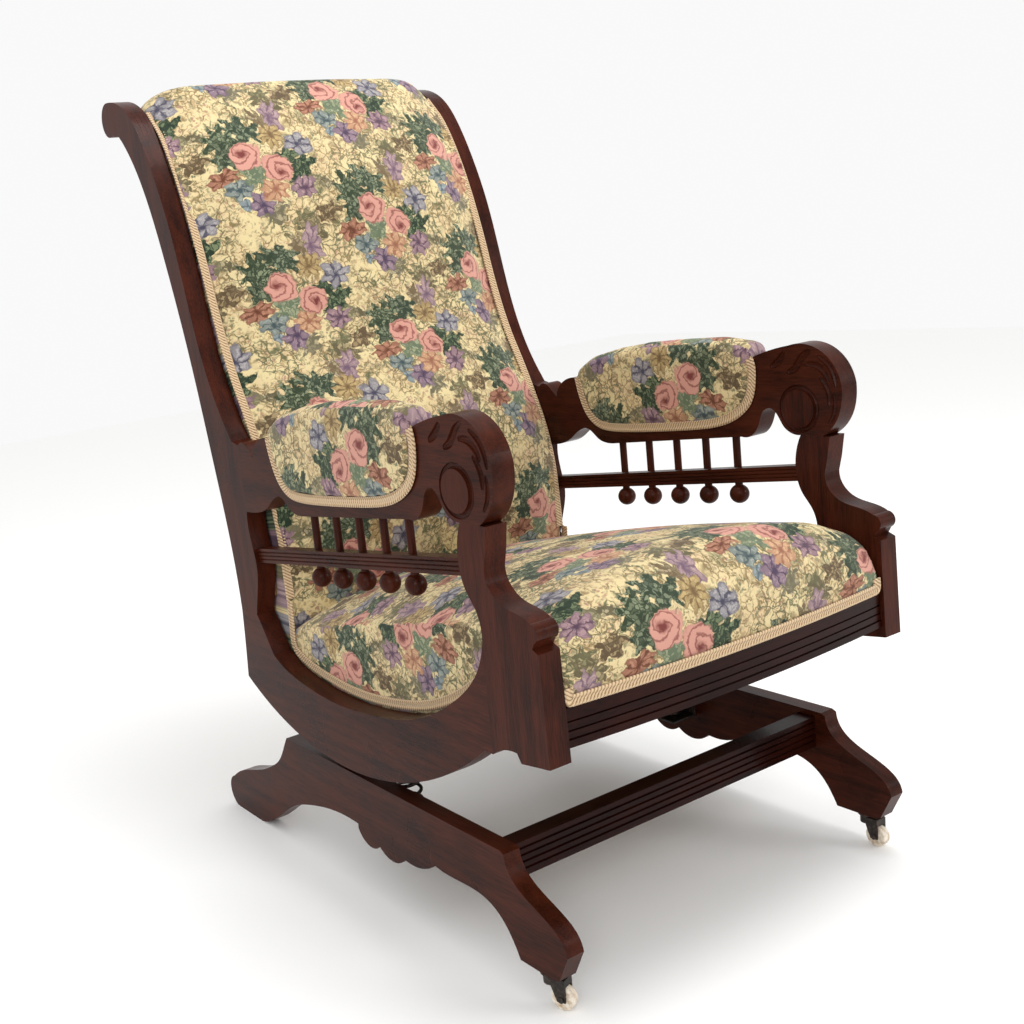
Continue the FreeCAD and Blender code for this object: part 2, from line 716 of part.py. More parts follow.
# Back gimp: a strip of braid down each edge of the back, in the angle with the stile.
strip_line = BACK_EDGE[1:-1]
braid_lift = 2.6
for label, side in SIDES:
    near = offset_line(strip_line, braid_lift)
    far = list(reversed(offset_line(strip_line, braid_lift + size("gimp_stock"))))
    outline = [near[0], ("curve", near[1:]), ("line", far[0]), ("curve", far[1:])]
    strip = board("back_braid_" + label, outline, "Sizes.gimp_width")
    spot = side_x(side, size("gimp_width"), half_width=inner_face - gap)
    keep(place(strip, spot), "back_gimp_" + label)

# Base: two sledge boards with scalloped undersides, joined by two stretchers.
deck = size("base_top")
toe = size("toe_height")
BASE = [
    (165, deck),
    ("line", (-325, deck)), ("line", (-331, deck - 3)),
    ("curve", [(-340, 141), (-374, 120), (-402, 108), (-420, 95), (-427, 79)]),
    ("line", (-410, toe + 4)), ("line", (-402, toe)),
    ("line", (-344, toe)),
    ("curve", [(-333, 62), (-318, 80), (-296, 93), (-262, 98), (-190, 99)]),
    ("arc", (-166, 86), (-122, 82)), ("arc", (-90, 69), (-63, 79)),
    ("arc", (-30, 73), (-13, 88)), ("line", (-13, 95)),
    ("curve", [(44, 94), (112, 81), (170, 61), (220, 30), (257, 9)]),
    ("arc", (273, 2.6), (290, 0)),
    ("line", (362, 0)),
    ("arc", (385, 22), (366, 50)),
    ("curve", [(324, 72), (270, 88), (221, 109), (196, 126), (176, 152), (165, deck)]),
]
stretcher_top = deck - size("stretcher_drop")
base_inner = size("base_half_width") - size("base_stock")


def stretcher_section():
    """A bar whose front face carries three sunk quirks between flat beads."""
    depth = size("stretcher_stock")
    tall = size("stretcher_height")
    face = [(0, 0)]
    for share in (0.22, 0.42, 0.62, 0.82):
        level = tall * share
        face += [(0, level - 1.6), (2.4, level - 0.8), (2.4, level + 0.8), (0, level + 1.6)]
    face += [(0, tall), (depth, tall), (depth, 0)]
    return [face[0]] + [("line", p) for p in face[1:]]


for node, spot in (("base_front_stretcher", "front_stretcher_y"),
                   ("base_rear_stretcher", "rear_stretcher_y")):
    bar = doc.addObject("PartDesign::Body", node + "_bar")
    length = "2 * (Sizes.base_half_width - Sizes.base_stock)"
    pad_on(bar, "YZ_Plane", node + "_pad", outline_edges(stretcher_section()), length)
    place(bar, -base_inner, False, y=size(spot) - size("stretcher_stock"),
          z=stretcher_top - size("stretcher_height"))
    keep(bar, node)


# Spring units: on each side two coils stand between angle irons on the base and the rocker.
def angle_iron(x, side, low, up):
    """An L of flat iron: a plate against the board and a leg that reaches inward."""
    stock = size("bracket_stock")
    leg = size("bracket_leg")
    half = size("spring_spread") + size("spring_radius") + 8
    tall = size("bracket_plate")
    plate_x = x - stock if side > 0 else x
    leg_x = x - leg if side > 0 else x
    leg_z = low if up else low - stock
    plate_z = low if up else low - tall
    plate = Part.makeBox(stock, 2 * half, tall, FreeCAD.Vector(plate_x, -half, plate_z))
    foot = Part.makeBox(leg, 2 * half, stock, FreeCAD.Vector(leg_x, -half, leg_z))
    return plate.fuse(foot).removeSplitter()


def screws(x, side, level):
    """Round-headed screws through an iron's plate into the board."""
    found = []
    inward = FreeCAD.Vector(-side, 0, 0)
    outward = FreeCAD.Vector(side, 0, 0)
    radius = size("base_screw_radius")
    for y in (-38, 0, 38):
        head_spot = FreeCAD.Vector(x - side * size("bracket_stock"), y, level)
        shank = Part.makeCylinder(radius * 0.6, 14, head_spot, outward)
        head = Part.makeCylinder(radius, 1.6, head_spot, inward)
        found.append(shank.fuse(head).removeSplitter())
    return found


low_leg = -size("bracket_drop")
high_leg = size("bracket_lift")
low_top = low_leg + size("bracket_stock")
high_under = high_leg - size("bracket_stock")
coil_wire = size("spring_wire")
coil_turns = 8
coil_rise = high_under - low_top - coil_wire - 2 * coil_clear
end_pitch = coil_wire + 0.9
mid_pitch = (coil_rise - 2 * end_pitch) / (coil_turns - 2)


def coil_height(turn):
    low = end_pitch * min(turn, 1)
    middle = mid_pitch * min(max(turn - 1, 0), coil_turns - 2)
    return low + middle + end_pitch * max(turn - coil_turns + 1, 0)


def smooth_height(turn):
    """The coil's height with its change of pitch eased over half a turn."""
    span = 0.35
    taps = (-span, -span / 2, 0, span / 2, span)
    total = 0.0
    for tap in taps:
        total += coil_height(min(max(turn + tap, 0), coil_turns))
    eased = total / len(taps)
    blend = min(turn, coil_turns - turn, 1)
    return eased * blend + coil_height(turn) * (1 - blend)


coil_radius = size("spring_radius") - coil_wire / 2
spring_coil, gap = coil(lambda share: coil_radius, smooth_height, coil_turns, coil_wire)
print("rocker spring: least gap to itself %.2f mm" % gap)

chair_irons, chair_screws, base_irons, base_screws = [], [], [], []
for label, side in SIDES:
    chair_irons.append(angle_iron(side * inner_face, side, high_leg, False))
    chair_screws += screws(side * inner_face, side, high_leg - size("bracket_plate") / 2)
    base_irons.append(angle_iron(side * base_inner, side, low_leg, True))
    base_screws += screws(side * base_inner, side, low_leg + size("bracket_plate") / 2 + 3)
    spring_x = side * (base_inner - size("bracket_leg") + size("spring_radius") + 4)
    pair = []
    for y in (-size("spring_spread"), size("spring_spread")):
        start = low_top + coil_clear + coil_wire / 2
        pair.append(spring_coil.translated(FreeCAD.Vector(spring_x, y, start)))
    keep(place(group("coil_pair_" + label, pair), 0), "rocker_springs_" + label)

chair_screw_set = keep(place(group("chair_screws", chair_screws), 0), "rocker_bracket_screws")
base_screw_set = keep(place(group("base_screws", base_screws), 0), "base_bracket_screws")
chair_iron_set = place(group("chair_irons", chair_irons), 0)
base_iron_set = place(group("base_irons", base_irons), 0)
keep(trimmed("chair_iron", chair_iron_set, chair_screw_set), "rocker_brackets")
keep(trimmed("base_iron", base_iron_set, base_screw_set), "base_brackets")

for label, side in SIDES:
    rocker = board("rocker_blank_" + label, ROCKER, "Sizes.frame_stock")
    place(rocker, side_x(side, size("frame_stock")))
    keep(trimmed("rocker_" + label, rocker, chair_screw_set), "rocker_board_" + label)


# Casters under the front toes: a socket in the wood, a swivelling horn, an axle and a wheel.
def caster(x):
    wheel_r = size("wheel_radius")
    half = size("wheel_width") / 2
    wheel_y = size("caster_y") - size("caster_trail")
    up = FreeCAD.Vector(0, 0, 1)
    across = FreeCAD.Vector(1, 0, 0)
    stem_spot = FreeCAD.Vector(x, size("caster_y"), 0)
    wheel_spot = FreeCAD.Vector(x - half, wheel_y, wheel_r)
    stem_bore = size("stem_radius") + size("axle_play")
    axle_bore = size("axle_radius") + size("axle_play")

    wheel = Part.makeCylinder(wheel_r, size("wheel_width"), wheel_spot, across)
    wheel = wheel.makeFillet(2.0, [e for e in wheel.Edges if e.Length > 4 * wheel_r])
    wheel = wheel.cut(Part.makeCylinder(axle_bore, size("wheel_width"), wheel_spot, across))

    plate_low = toe - 2.0
    rim = Part.makeCylinder(12.0, 2.0, stem_spot + up * plate_low, up)
    sleeve = Part.makeCylinder(size("socket_radius"), size("socket_depth"), stem_spot + up * toe, up)
    hole = Part.makeCylinder(stem_bore, size("socket_depth") + 1, stem_spot + up * plate_low, up)
    socket = rim.fuse(sleeve).cut(hole)

    crown_top = plate_low - 0.4
    crown_low = 2 * wheel_r + 1.2
    cheek = 2.2
    gap = 0.5
    wide = half + gap + cheek
    hub = Part.makeCylinder(9.5, crown_top - crown_low, stem_spot + up * crown_low, up)
    bridge = Part.makeBox(2 * wide, size("caster_trail") + 8, crown_top - crown_low - 1.5,
                          FreeCAD.Vector(x - wide, wheel_y - 6, crown_low))
    horn = hub.fuse(bridge)
    for cheek_x in (x - wide, x + half + gap):
        profile = Part.makePolygon([
            FreeCAD.Vector(cheek_x, wheel_y - 6, crown_low + 1),
            FreeCAD.Vector(cheek_x, wheel_y - 5, wheel_r - 3),
            FreeCAD.Vector(cheek_x, wheel_y + 5, wheel_r - 3),
            FreeCAD.Vector(cheek_x, wheel_y + 12, crown_low + 1),
            FreeCAD.Vector(cheek_x, wheel_y - 6, crown_low + 1)])
        horn = horn.fuse(Part.Face(profile).extrude(FreeCAD.Vector(cheek, 0, 0)))
    stem = Part.makeCylinder(size("stem_radius"), size("socket_depth") - 2,
                             stem_spot + up * (crown_top - 0.5), up)
    horn = horn.fuse(stem)
    pin_spot = FreeCAD.Vector(x - wide, wheel_y, wheel_r)
    pin = Part.makeCylinder(size("axle_radius"), 2 * wide, pin_spot, across)
    for end_x, way in ((x - wide, -1), (x + wide, 1)):
        head = Part.makeCylinder(size("axle_radius") + 1.2, 1.0,
                                 FreeCAD.Vector(end_x, wheel_y, wheel_r), across * way)
        pin = pin.fuse(head)
    horn = horn.cut(pin).removeSplitter()
    return wheel, socket.removeSplitter(), horn, pin.removeSplitter()


# The right-hand caster stands a little swivelled at rest.
for label, side in SIDES:
    middle = side * (size("base_half_width") - size("base_stock") / 2)
    wheel, socket, horn, pin = caster(middle)
    if side < 0:
        stem_foot = FreeCAD.Vector(middle, size("caster_y"), 0)
        swivel = FreeCAD.Rotation(FreeCAD.Vector(0, 0, 1), size("caster_turn"))
        swung = FreeCAD.Placement(FreeCAD.Vector(), swivel, stem_foot).toMatrix()
        wheel, horn, pin = (piece.transformed(swung, True) for piece in (wheel, horn, pin))
    keep(place(group("wheel_" + label, [wheel]), 0, False), "caster_wheel_" + label)
    socket_feature = place(group("socket_" + label, [socket]), 0, False)
    keep(socket_feature, "caster_socket_" + label)
    keep(place(group("horn_" + label, [horn]), 0, False), "caster_horn_" + label)
    keep(place(group("axle_" + label, [pin]), 0, False), "caster_axle_" + label)
    bore = Part.makeCylinder(size("socket_radius"), size("socket_depth"),
                             FreeCAD.Vector(middle, size("caster_y"), toe))
    bore_feature = place(group("bore_" + label, [bore]), 0, False)
    blank = board("base_blank_" + label, BASE, "Sizes.base_stock")
    place(blank, side_x(side, size("base_stock"), half_width=size("base_half_width")), False)
    keep(trimmed("sledge_" + label, blank, bore_feature, base_screw_set), "base_side_" + label)

doc.recompute()
for thing in doc.Objects:
    if "Invalid" in thing.State or "Error" in thing.State:
        raise RuntimeError("%s failed: %s" % (thing.Label, thing.State))

os.makedirs("parts", exist_ok=True)
box = FreeCAD.BoundBox()
for node in nodes:
    shape = node.Shape
    if shape.isNull() or not shape.isValid() or not shape.Solids:
        raise RuntimeError("%s has no valid solid" % node.Label)
    box.add(shape.BoundBox)
    shape.exportStep(os.path.join("parts", node.Label + ".step"))
print(len(nodes), "nodes,", sum(len(node.Shape.Solids) for node in nodes), "solids")
print("box %.1f %.1f %.1f to %.1f %.1f %.1f" % (box.XMin, box.YMin, box.ZMin,
                                                box.XMax, box.YMax, box.ZMax))
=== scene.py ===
import json
import math

import bpy
import bmesh
import numpy as np
from mathutils import Matrix, Vector


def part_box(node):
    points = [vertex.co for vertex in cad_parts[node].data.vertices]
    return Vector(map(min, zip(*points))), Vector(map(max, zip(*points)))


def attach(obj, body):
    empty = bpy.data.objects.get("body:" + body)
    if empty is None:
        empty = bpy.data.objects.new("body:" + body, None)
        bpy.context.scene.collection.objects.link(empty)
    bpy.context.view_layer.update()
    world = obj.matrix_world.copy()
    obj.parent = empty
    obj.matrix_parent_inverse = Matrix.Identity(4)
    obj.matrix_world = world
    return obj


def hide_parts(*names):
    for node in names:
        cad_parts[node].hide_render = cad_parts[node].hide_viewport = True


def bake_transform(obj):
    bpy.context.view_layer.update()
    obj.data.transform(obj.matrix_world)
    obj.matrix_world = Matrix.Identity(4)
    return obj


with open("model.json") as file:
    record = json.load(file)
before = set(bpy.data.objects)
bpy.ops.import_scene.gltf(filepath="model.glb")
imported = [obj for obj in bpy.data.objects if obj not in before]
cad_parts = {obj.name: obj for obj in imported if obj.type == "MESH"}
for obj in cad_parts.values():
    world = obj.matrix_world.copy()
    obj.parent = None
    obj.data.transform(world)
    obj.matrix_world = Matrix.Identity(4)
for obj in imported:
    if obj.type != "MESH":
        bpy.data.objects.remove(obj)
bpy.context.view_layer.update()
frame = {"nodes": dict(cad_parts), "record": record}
nodes = frame["nodes"]


# Studio: a plain white sweep under soft lamps, with the camera where the photograph was
# taken, off the sitter's right-hand front corner, a little above the arms and tilted.
def paint(code):
    """An sRGB hex colour as linear RGBA."""
    channels = [int(code[i:i + 2], 16) / 255 for i in (1, 3, 5)]
    return [c / 12.92 if c <= 0.04045 else ((c + 0.055) / 1.055) ** 2.4 for c in channels] + [1.0]


def add(tree, kind, inputs=None, **settings):
    """Adds a node with its settings, links and values, and returns its outputs."""
    node = tree.nodes.new(kind)
    for name, value in settings.items():
        setattr(node, name, value)
    for socket, value in (inputs or {}).items():
        if isinstance(value, bpy.types.NodeSocket):
            tree.links.new(value, node.inputs[socket])
        else:
            node.inputs[socket].default_value = value
    return node.outputs


def new_material(name):
    material = bpy.data.materials.new(name)
    material.use_nodes = True
    material.node_tree.nodes.clear()
    return material, material.node_tree


def link(name, data):
    piece = bpy.data.objects.new(name, data)
    bpy.context.scene.collection.objects.link(piece)
    return piece


def mesh_piece(name, verts, faces, smooth=True):
    mesh = bpy.data.meshes.new(name)
    mesh.from_pydata([tuple(v) for v in verts], [], faces)
    mesh.update()
    mesh.polygons.foreach_set("use_smooth", [smooth] * len(mesh.polygons))
    return link(name, mesh)


eye = Vector((-1.0486, -1.42585, 0.82478))
camera_right = Vector((0.839239, -0.531201, -0.116207))
camera_up = Vector((0.198077, 0.099621, 0.975111))
camera_back = camera_right.cross(camera_up)
camera = link("camera", bpy.data.cameras.new("camera"))
camera.data.sensor_width = 36
camera.data.lens = 44.883
camera.data.shift_x = 0.1459
camera.data.shift_y = -0.0074
turn = Matrix((camera_right, camera_up, camera_back)).transposed()
camera.matrix_world = Matrix.Translation(eye) @ turn.to_4x4()
bpy.context.scene.camera = camera

sweep = mesh_piece("floor", [(-6, -6, 0), (6, -6, 0), (6, 6, 0), (-6, 6, 0)], [(0, 1, 2, 3)])
paper, tree = new_material("white_seamless_paper")
shader = add(tree, "ShaderNodeBsdfPrincipled", {"Base Color": paint("#fbfbfa"), "Roughness": 0.9})
add(tree, "ShaderNodeOutputMaterial", {"Surface": shader[0]})
sweep.data.materials.append(paper)

world = bpy.data.worlds.new("studio")
world.use_nodes = True
world.node_tree.nodes["Background"].inputs[0].default_value = paint("#ffffff")
world.node_tree.nodes["Background"].inputs[1].default_value = 0.95
bpy.context.scene.world = world
bpy.context.scene.view_settings.view_transform = "Standard"
LAMPS = (("overhead", (0.3, -0.4, 2.9), (0, 0, 0.3), 1.2, 34),
         ("front_left", (-2.2, -2.2, 1.7), (0, 0, 0.7), 0.8, 14),
         ("front_right", (1.9, -2.4, 1.4), (0, 0, 0.5), 0.8, 14))
for name, spot, aim, width, watts in LAMPS:
    lamp = link(name, bpy.data.lights.new(name, "AREA"))
    lamp.data.size = width
    lamp.data.energy = watts
    lamp.location = spot
    lamp.rotation_euler = (Vector(aim) - Vector(spot)).to_track_quat("-Z", "Y").to_euler()


# Show wood: sawn boards of a close-grained hardwood, stained dark walnut and polished with
# shellac. The polish gives a clear, slightly uneven gloss over a red-brown that goes nearly
# black, and the edges were sanded round by about a millimetre.
def stained_wood(name, along, light, dark, gloss):
    """Polished wood with its grain along one axis and a figure about 14 mm wide.

    The pores are about 0.3 mm wide. They are drawn 1.1 mm wide, so that they show.
    """
    material, tree = new_material(name)
    spot = add(tree, "ShaderNodeTexCoord")["Object"]
    stretch = [1 / 0.005] * 3
    stretch[along] = 1 / 0.09
    grown = add(tree, "ShaderNodeMapping", {"Vector": spot, "Scale": stretch})[0]
    figure = add(tree, "ShaderNodeTexNoise", {"Vector": grown, "Scale": 0.35, "Detail": 4.0,
                                              "Distortion": 0.6})[0]
    stretch = [1 / 0.0011] * 3
    stretch[along] = 1 / 0.022
    fine = add(tree, "ShaderNodeMapping", {"Vector": spot, "Scale": stretch})[0]
    pores = add(tree, "ShaderNodeTexNoise", {"Vector": fine, "Scale": 1.0, "Detail": 2.0})[0]
    worn = add(tree, "ShaderNodeTexNoise", {"Vector": spot, "Scale": 9.0, "Detail": 3.0})[0]
    both = add(tree, "ShaderNodeMath", {0: figure, 1: pores}, operation="ADD")[0]
    all_three = add(tree, "ShaderNodeMath", {0: both, 1: worn}, operation="ADD")[0]
    share = add(tree, "ShaderNodeMapRange", {"Value": all_three, "From Min": 1.2,
                                             "From Max": 1.8})[0]
    stain = add(tree, "ShaderNodeMix", {"Factor": share, 6: paint(dark), 7: paint(light)},
                data_type="RGBA")[2]
    polish = add(tree, "ShaderNodeMapRange", {"Value": worn, "From Min": 0.3, "From Max": 0.7,
                                              "To Min": gloss, "To Max": gloss + 0.12})[0]
    grain = add(tree, "ShaderNodeBump", {"Height": pores, "Strength": 0.06,
                                         "Distance": 0.0004})[0]
    shader = add(tree, "ShaderNodeBsdfPrincipled", {
        "Base Color": stain, "Roughness": polish, "Normal": grain, "IOR": 1.5,
        "Specular IOR Level": 0.07, "Coat Weight": 0.04, "Coat Roughness": 0.08})
    add(tree, "ShaderNodeOutputMaterial", {"Surface": shader[0]})
    return material


upright_wood = stained_wood("walnut_stained_upright", 2, "#461d10", "#240d07", 0.24)
long_wood = stained_wood("walnut_stained_lengthways", 1, "#451d10", "#230d07", 0.24)
# Painted shade: the crossways rails show their front faces, which fall in shade, so their copy of
# the walnut stain is drawn darker than the uprights and boards.
cross_wood_painted_shade = stained_wood("walnut_crossways_painted_shade", 0, "#2a0d07", "#150503", 0.25)
rough_wood = stained_wood("sawn_birch", 0, "#b08d5f", "#7d5c38", 0.6)
SANDED = 0.0009
SANDED_RAIL = 0.0007


def dress(node, material, edge=0.0):
    """Gives a frame node its finish and, where wood was sanded, softened edges."""
    piece = nodes[node]
    for slot in piece.material_slots:
        slot.material = material
    if edge:
        round_over = piece.modifiers.new("sanded_edges", "BEVEL")
        round_over.width = edge
        round_over.segments = 2
        round_over.limit_method = "ANGLE"
        round_over.angle_limit = math.radians(38)
        return piece


for side in ("left", "right"):
    for node in ("back_stile_", "front_post_"):
        dress(node + side, upright_wood, SANDED)
    for node in ("rocker_board_", "base_side_"):
        dress(node + side, long_wood, SANDED)
    dress("spindle_rail_" + side, long_wood)
    for node in ("spindles_", "spindle_balls_", "arm_bosses_"):
        dress(node + side, upright_wood)
    dress("seat_side_rail_" + side, rough_wood)
# These rails take the darker copy of the stain, which is painted shade.
for node in ("front_seat_rail", "base_front_stretcher", "base_rear_stretcher"):
    dress(node, cross_wood_painted_shade, SANDED_RAIL)
for node in ("rear_seat_rail", "corner_blocks", "back_top_rail", "back_bottom_rail"):
    dress(node, rough_wood)


# Arm carving: both faces of each scroll are cut with gouges before the wood is stained. Two
# veins cross the hand, scallops follow its edge, and a deep ring is cut round the boss.
MM = 0.001
VEINS = [
    # half width at the middle and depth in mm, then (y, z) in mm from the rock point
    (5.2, 5.0, [(-276, 458), (-285, 463), (-293, 470), (-299, 479)]),
    (5.6, 5.5, [(-302, 452), (-313, 456), (-320, 464), (-327, 474), (-339, 481)]),
    (5.0, 4.6, [(-330, 463), (-342, 464), (-353, 459), (-361, 450), (-364, 441)]),
    (4.2, 4.2, [(-349, 474), (-360, 468), (-368, 459), (-373, 447), (-375, 434)]),
    (4.6, 4.2, [(-352, 447), (-361, 436), (-365, 424), (-364, 412)]),
    (3.6, 3.6, [(-371, 428), (-373, 414), (-370, 400), (-362, 389)]),
    (1.7, 1.5, [(-268, 483), (-290, 489), (-322, 492), (-352, 487), (-374, 473), (-388, 452),
                (-393, 428), (-389, 404), (-377, 384)]),
]
BOSS_RING = (-318, 407, 27.5)
RING_CUT = 3.2
GOUGE_SIDES = 10


def cut_corners(line, times=3):
    """An open line with its corners cut smooth, its two ends kept."""
    line = np.array(line, float)
    for _ in range(times):
        near = line[:-1] * 0.75 + line[1:] * 0.25
        far = line[:-1] * 0.25 + line[1:] * 0.75
        cut = np.stack([near, far], axis=1).reshape(-1, line.shape[1])
        line = np.concatenate([line[:1], cut, line[-1:]])
    return line


def face_outward(piece):
    """Turns every face of a closed mesh outward."""
    fix = bmesh.new()
    fix.from_mesh(piece.data)
    bmesh.ops.recalc_face_normals(fix, faces=fix.faces)
    fix.to_mesh(piece.data)
    fix.free()


def gouge(centre, half, depth, x, closed=False):
    """A round-nosed cut that swells to its middle, as a closed tube sunk into one face."""
    line = cut_corners(centre, 0 if closed else 3)
    count = len(line)
    along = (np.roll(line, -1, axis=0) - np.roll(line, 1, axis=0)) if closed else np.gradient(
        line, axis=0)
    along /= np.linalg.norm(along, axis=1, keepdims=True)
    side_on = np.stack([-along[:, 1], along[:, 0]], axis=1)
    share = np.ones(count) if closed else np.sin(np.linspace(0.06, np.pi - 0.06, count)) ** 0.6
    verts, sides = [], GOUGE_SIDES
    for i in range(count):
        for j in range(sides):
            turn = 2 * math.pi * j / sides
            y, z = line[i] + side_on[i] * half * share[i] * math.cos(turn)
            verts.append((x + depth * MM * share[i] * math.sin(turn), y * MM + rock_y,
                          z * MM + deck))
    faces = []
    for i in range(count if closed else count - 1):
        k = (i + 1) % count
        for j in range(sides):
            m = (j + 1) % sides
            faces.append((i * sides + j, i * sides + m, k * sides + m, k * sides + j))
    if not closed:
        faces += [tuple(range(sides))[::-1],
                  tuple((count - 1) * sides + j for j in range(sides))]
    cutter = mesh_piece("gouge_cut", verts, faces, smooth=False)
    face_outward(cutter)
    return cutter


# The rock point: where the rockers bear. The chair's outlines are drawn from it.
rock_y = frame["record"]["behaviour"]["joints"][0]["pos_m"][1]
deck = frame["record"]["behaviour"]["joints"][0]["pos_m"][2]
ring = [(BOSS_RING[0] + BOSS_RING[2] * math.cos(t), BOSS_RING[1] + BOSS_RING[2] * math.sin(t))
        for t in np.linspace(0, 2 * math.pi, 48, endpoint=False)]
for side in ("left", "right"):
    low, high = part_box("arm_" + side)
    arm = link("arm_carved_" + side, nodes["arm_" + side].data.copy())
    for slot in arm.material_slots:
        slot.material = long_wood
    cuts = bmesh.new()
    for x in (low[0], high[0]):
        cutters = [gouge(points, half, depth, x) for half, depth, points in VEINS]
        cutters.append(gouge(ring, RING_CUT, RING_CUT, x, closed=True))
        for cutter in cutters:
            cuts.from_mesh(cutter.data)
            bpy.data.objects.remove(cutter)
    blade = link("gouge_cuts", bpy.data.meshes.new("gouge_cuts"))
    cuts.to_mesh(blade.data)
    cuts.free()
    soften = arm.modifiers.new("sanded_edges", "BEVEL")
    soften.width = 0.001
    soften.segments = 2
    soften.limit_method = "ANGLE"
    soften.angle_limit = math.radians(38)
    cut = arm.modifiers.new("carving", "BOOLEAN")
    cut.operation = "DIFFERENCE"
    cut.object = blade
    cut.solver = "EXACT"
    cut.use_self = True
    carved = bpy.data.meshes.new_from_object(
        arm.evaluated_get(bpy.context.evaluated_depsgraph_get()))
    arm.modifiers.clear()
    arm.data = carved
    bpy.data.objects.remove(blade)
    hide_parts("arm_" + side)
    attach(arm, "chair")


# Tapestry: a cotton jacquard furnishing cloth, cream with sprays of pink roses, pansies and
# leaves. The spray repeats every 176 mm across and 198 mm along, with a half drop.
REPEAT = (0.176, 0.198)
SPRAY = [
    # kind, across, along, half width, half height, turn, lobes, light, deep: sizes in mm
    ("leaves", 61, -104, 19, 13, 20, 7, "#b3a67c", "#6f6a4c"),
    ("leaves", -106, -18, 23, 13, -20, 6, "#b3a27a", "#6c6247"),
    ("leaves", -74, 1, 21, 14, 15, 5, "#b39c74", "#66543c"),
    ("leaves", -62, 43, 22, 6, -28, 9, "#b9ab88", "#6b6349"),
    ("leaves", 20, -92, 20, 13, 35, 7, "#bcae8a", "#777058"),
    ("leaves", 92, -48, 18, 9, -50, 6, "#b7ab83", "#7b7457"),
    ("bloom", 62, 56, 17, 29, -14, 8, "#bfa2a0", "#785f70"),
    ("leaves", 40, 58, 12, 18, 20, 7, "#b5a483", "#7a684c"),
    ("leaves", 8, 42, 34, 18, -25, 8, "#8f977a", "#3a4736"),
    ("leaves", -27, 27, 26, 28, 10, 9, "#8d9576", "#37442f"),
    ("leaves", -34, 0, 15, 20, 0, 7, "#858d70", "#35412f"),
    ("leaves", 80, -29, 27, 14, 28, 5, "#7f8b68", "#2a3a2a"),
    ("leaves", 64, -9, 17, 12, -20, 5, "#7f8b68", "#2f3f2d"),
    ("bloom", 50, 27, 20, 19, 0, 9, "#cdb27c", "#7d6342"),
    ("bloom", -42, -29, 25, 14, 12, 7, "#c48d72", "#6e3f2c"),
    ("leaves", 3, -32, 21, 17, -15, 4, "#a9ad8b", "#6d7a5f"),
    ("leaves", 26, -56, 14, 10, -15, 5, "#b2a37c", "#6e6347"),
    ("bloom", -24, -51, 21, 14, 0, 6, "#a5aba0", "#48575a"),
    ("bloom", -22, -73, 9, 9, 0, 3, "#a5afae", "#5c686e"),
    ("bloom", 3, -76, 18, 20, 30, 6, "#ab919a", "#54435a"),
    ("bloom", 28, -57, 21, 18, 0, 7, "#e0b48c", "#a06a52"),
    ("bloom", 74, -58, 21, 17, 20, 7, "#b8979a", "#5f4657"),
    ("bloom", 88, 9, 23, 20, 0, 6, "#b9b3b2", "#4d4a5c"),
    ("rose", 1, 0, 26, 23, 0, 5, "#e2a593", "#83403b"),
    ("rose", 43, -24, 24, 22, 160, 5, "#dfa290", "#7d3c38"),
]

# Cells in a metre, how much of a cell is dyed, how sparse the sprigs are, and their dye.
SPRIGS = ((120.0, 0.42, 0.44, "#c3a578"), (170.0, 0.42, 0.45, "#9c9674"),
          (150.0, 0.38, 0.5, "#6f7659"), (190.0, 0.4, 0.5, "#b98a76"),
          (210.0, 0.36, 0.47, "#8a7356"))
STALKS = ((95.0, 0.42, "#8d7a52"), (75.0, 0.46, "#66694a"))
LEAVES_PER_METRE = 185.0
THREAD_PITCH = 0.0017


def drop_repeat():
    """A node group that folds the cloth into one repeat, centred on a given spot."""
    group = bpy.data.node_groups.new("half_drop_repeat", "ShaderNodeTree")
    group.interface.new_socket("Cloth", in_out="INPUT", socket_type="NodeSocketVector")
    group.interface.new_socket("Centre", in_out="INPUT", socket_type="NodeSocketVector")
    group.interface.new_socket("Local", in_out="OUTPUT", socket_type="NodeSocketVector")
    inputs = add(group, "NodeGroupInput")
    away = add(group, "ShaderNodeVectorMath", {0: inputs[0], 1: inputs[1]},
               operation="SUBTRACT")[0]
    parts = add(group, "ShaderNodeSeparateXYZ", {0: away})
    column = add(group, "ShaderNodeMath", {0: parts[0], 1: REPEAT[0]}, operation="DIVIDE")[0]
    column = add(group, "ShaderNodeMath", {0: column}, operation="ROUND")[0]
    across = add(group, "ShaderNodeMath", {0: column, 1: -REPEAT[0], 2: parts[0]},
                 operation="MULTIPLY_ADD")[0]
    along = add(group, "ShaderNodeMath", {0: column, 1: REPEAT[1] / 2, 2: parts[1]},
                operation="MULTIPLY_ADD")[0]
    row = add(group, "ShaderNodeMath", {0: along, 1: REPEAT[1]}, operation="DIVIDE")[0]
    row = add(group, "ShaderNodeMath", {0: row}, operation="ROUND")[0]
    along = add(group, "ShaderNodeMath", {0: row, 1: -REPEAT[1], 2: along},
                operation="MULTIPLY_ADD")[0]
    folded = add(group, "ShaderNodeCombineXYZ", {0: across, 1: along})[0]
    add(group, "NodeGroupOutput", {0: folded})
    return group


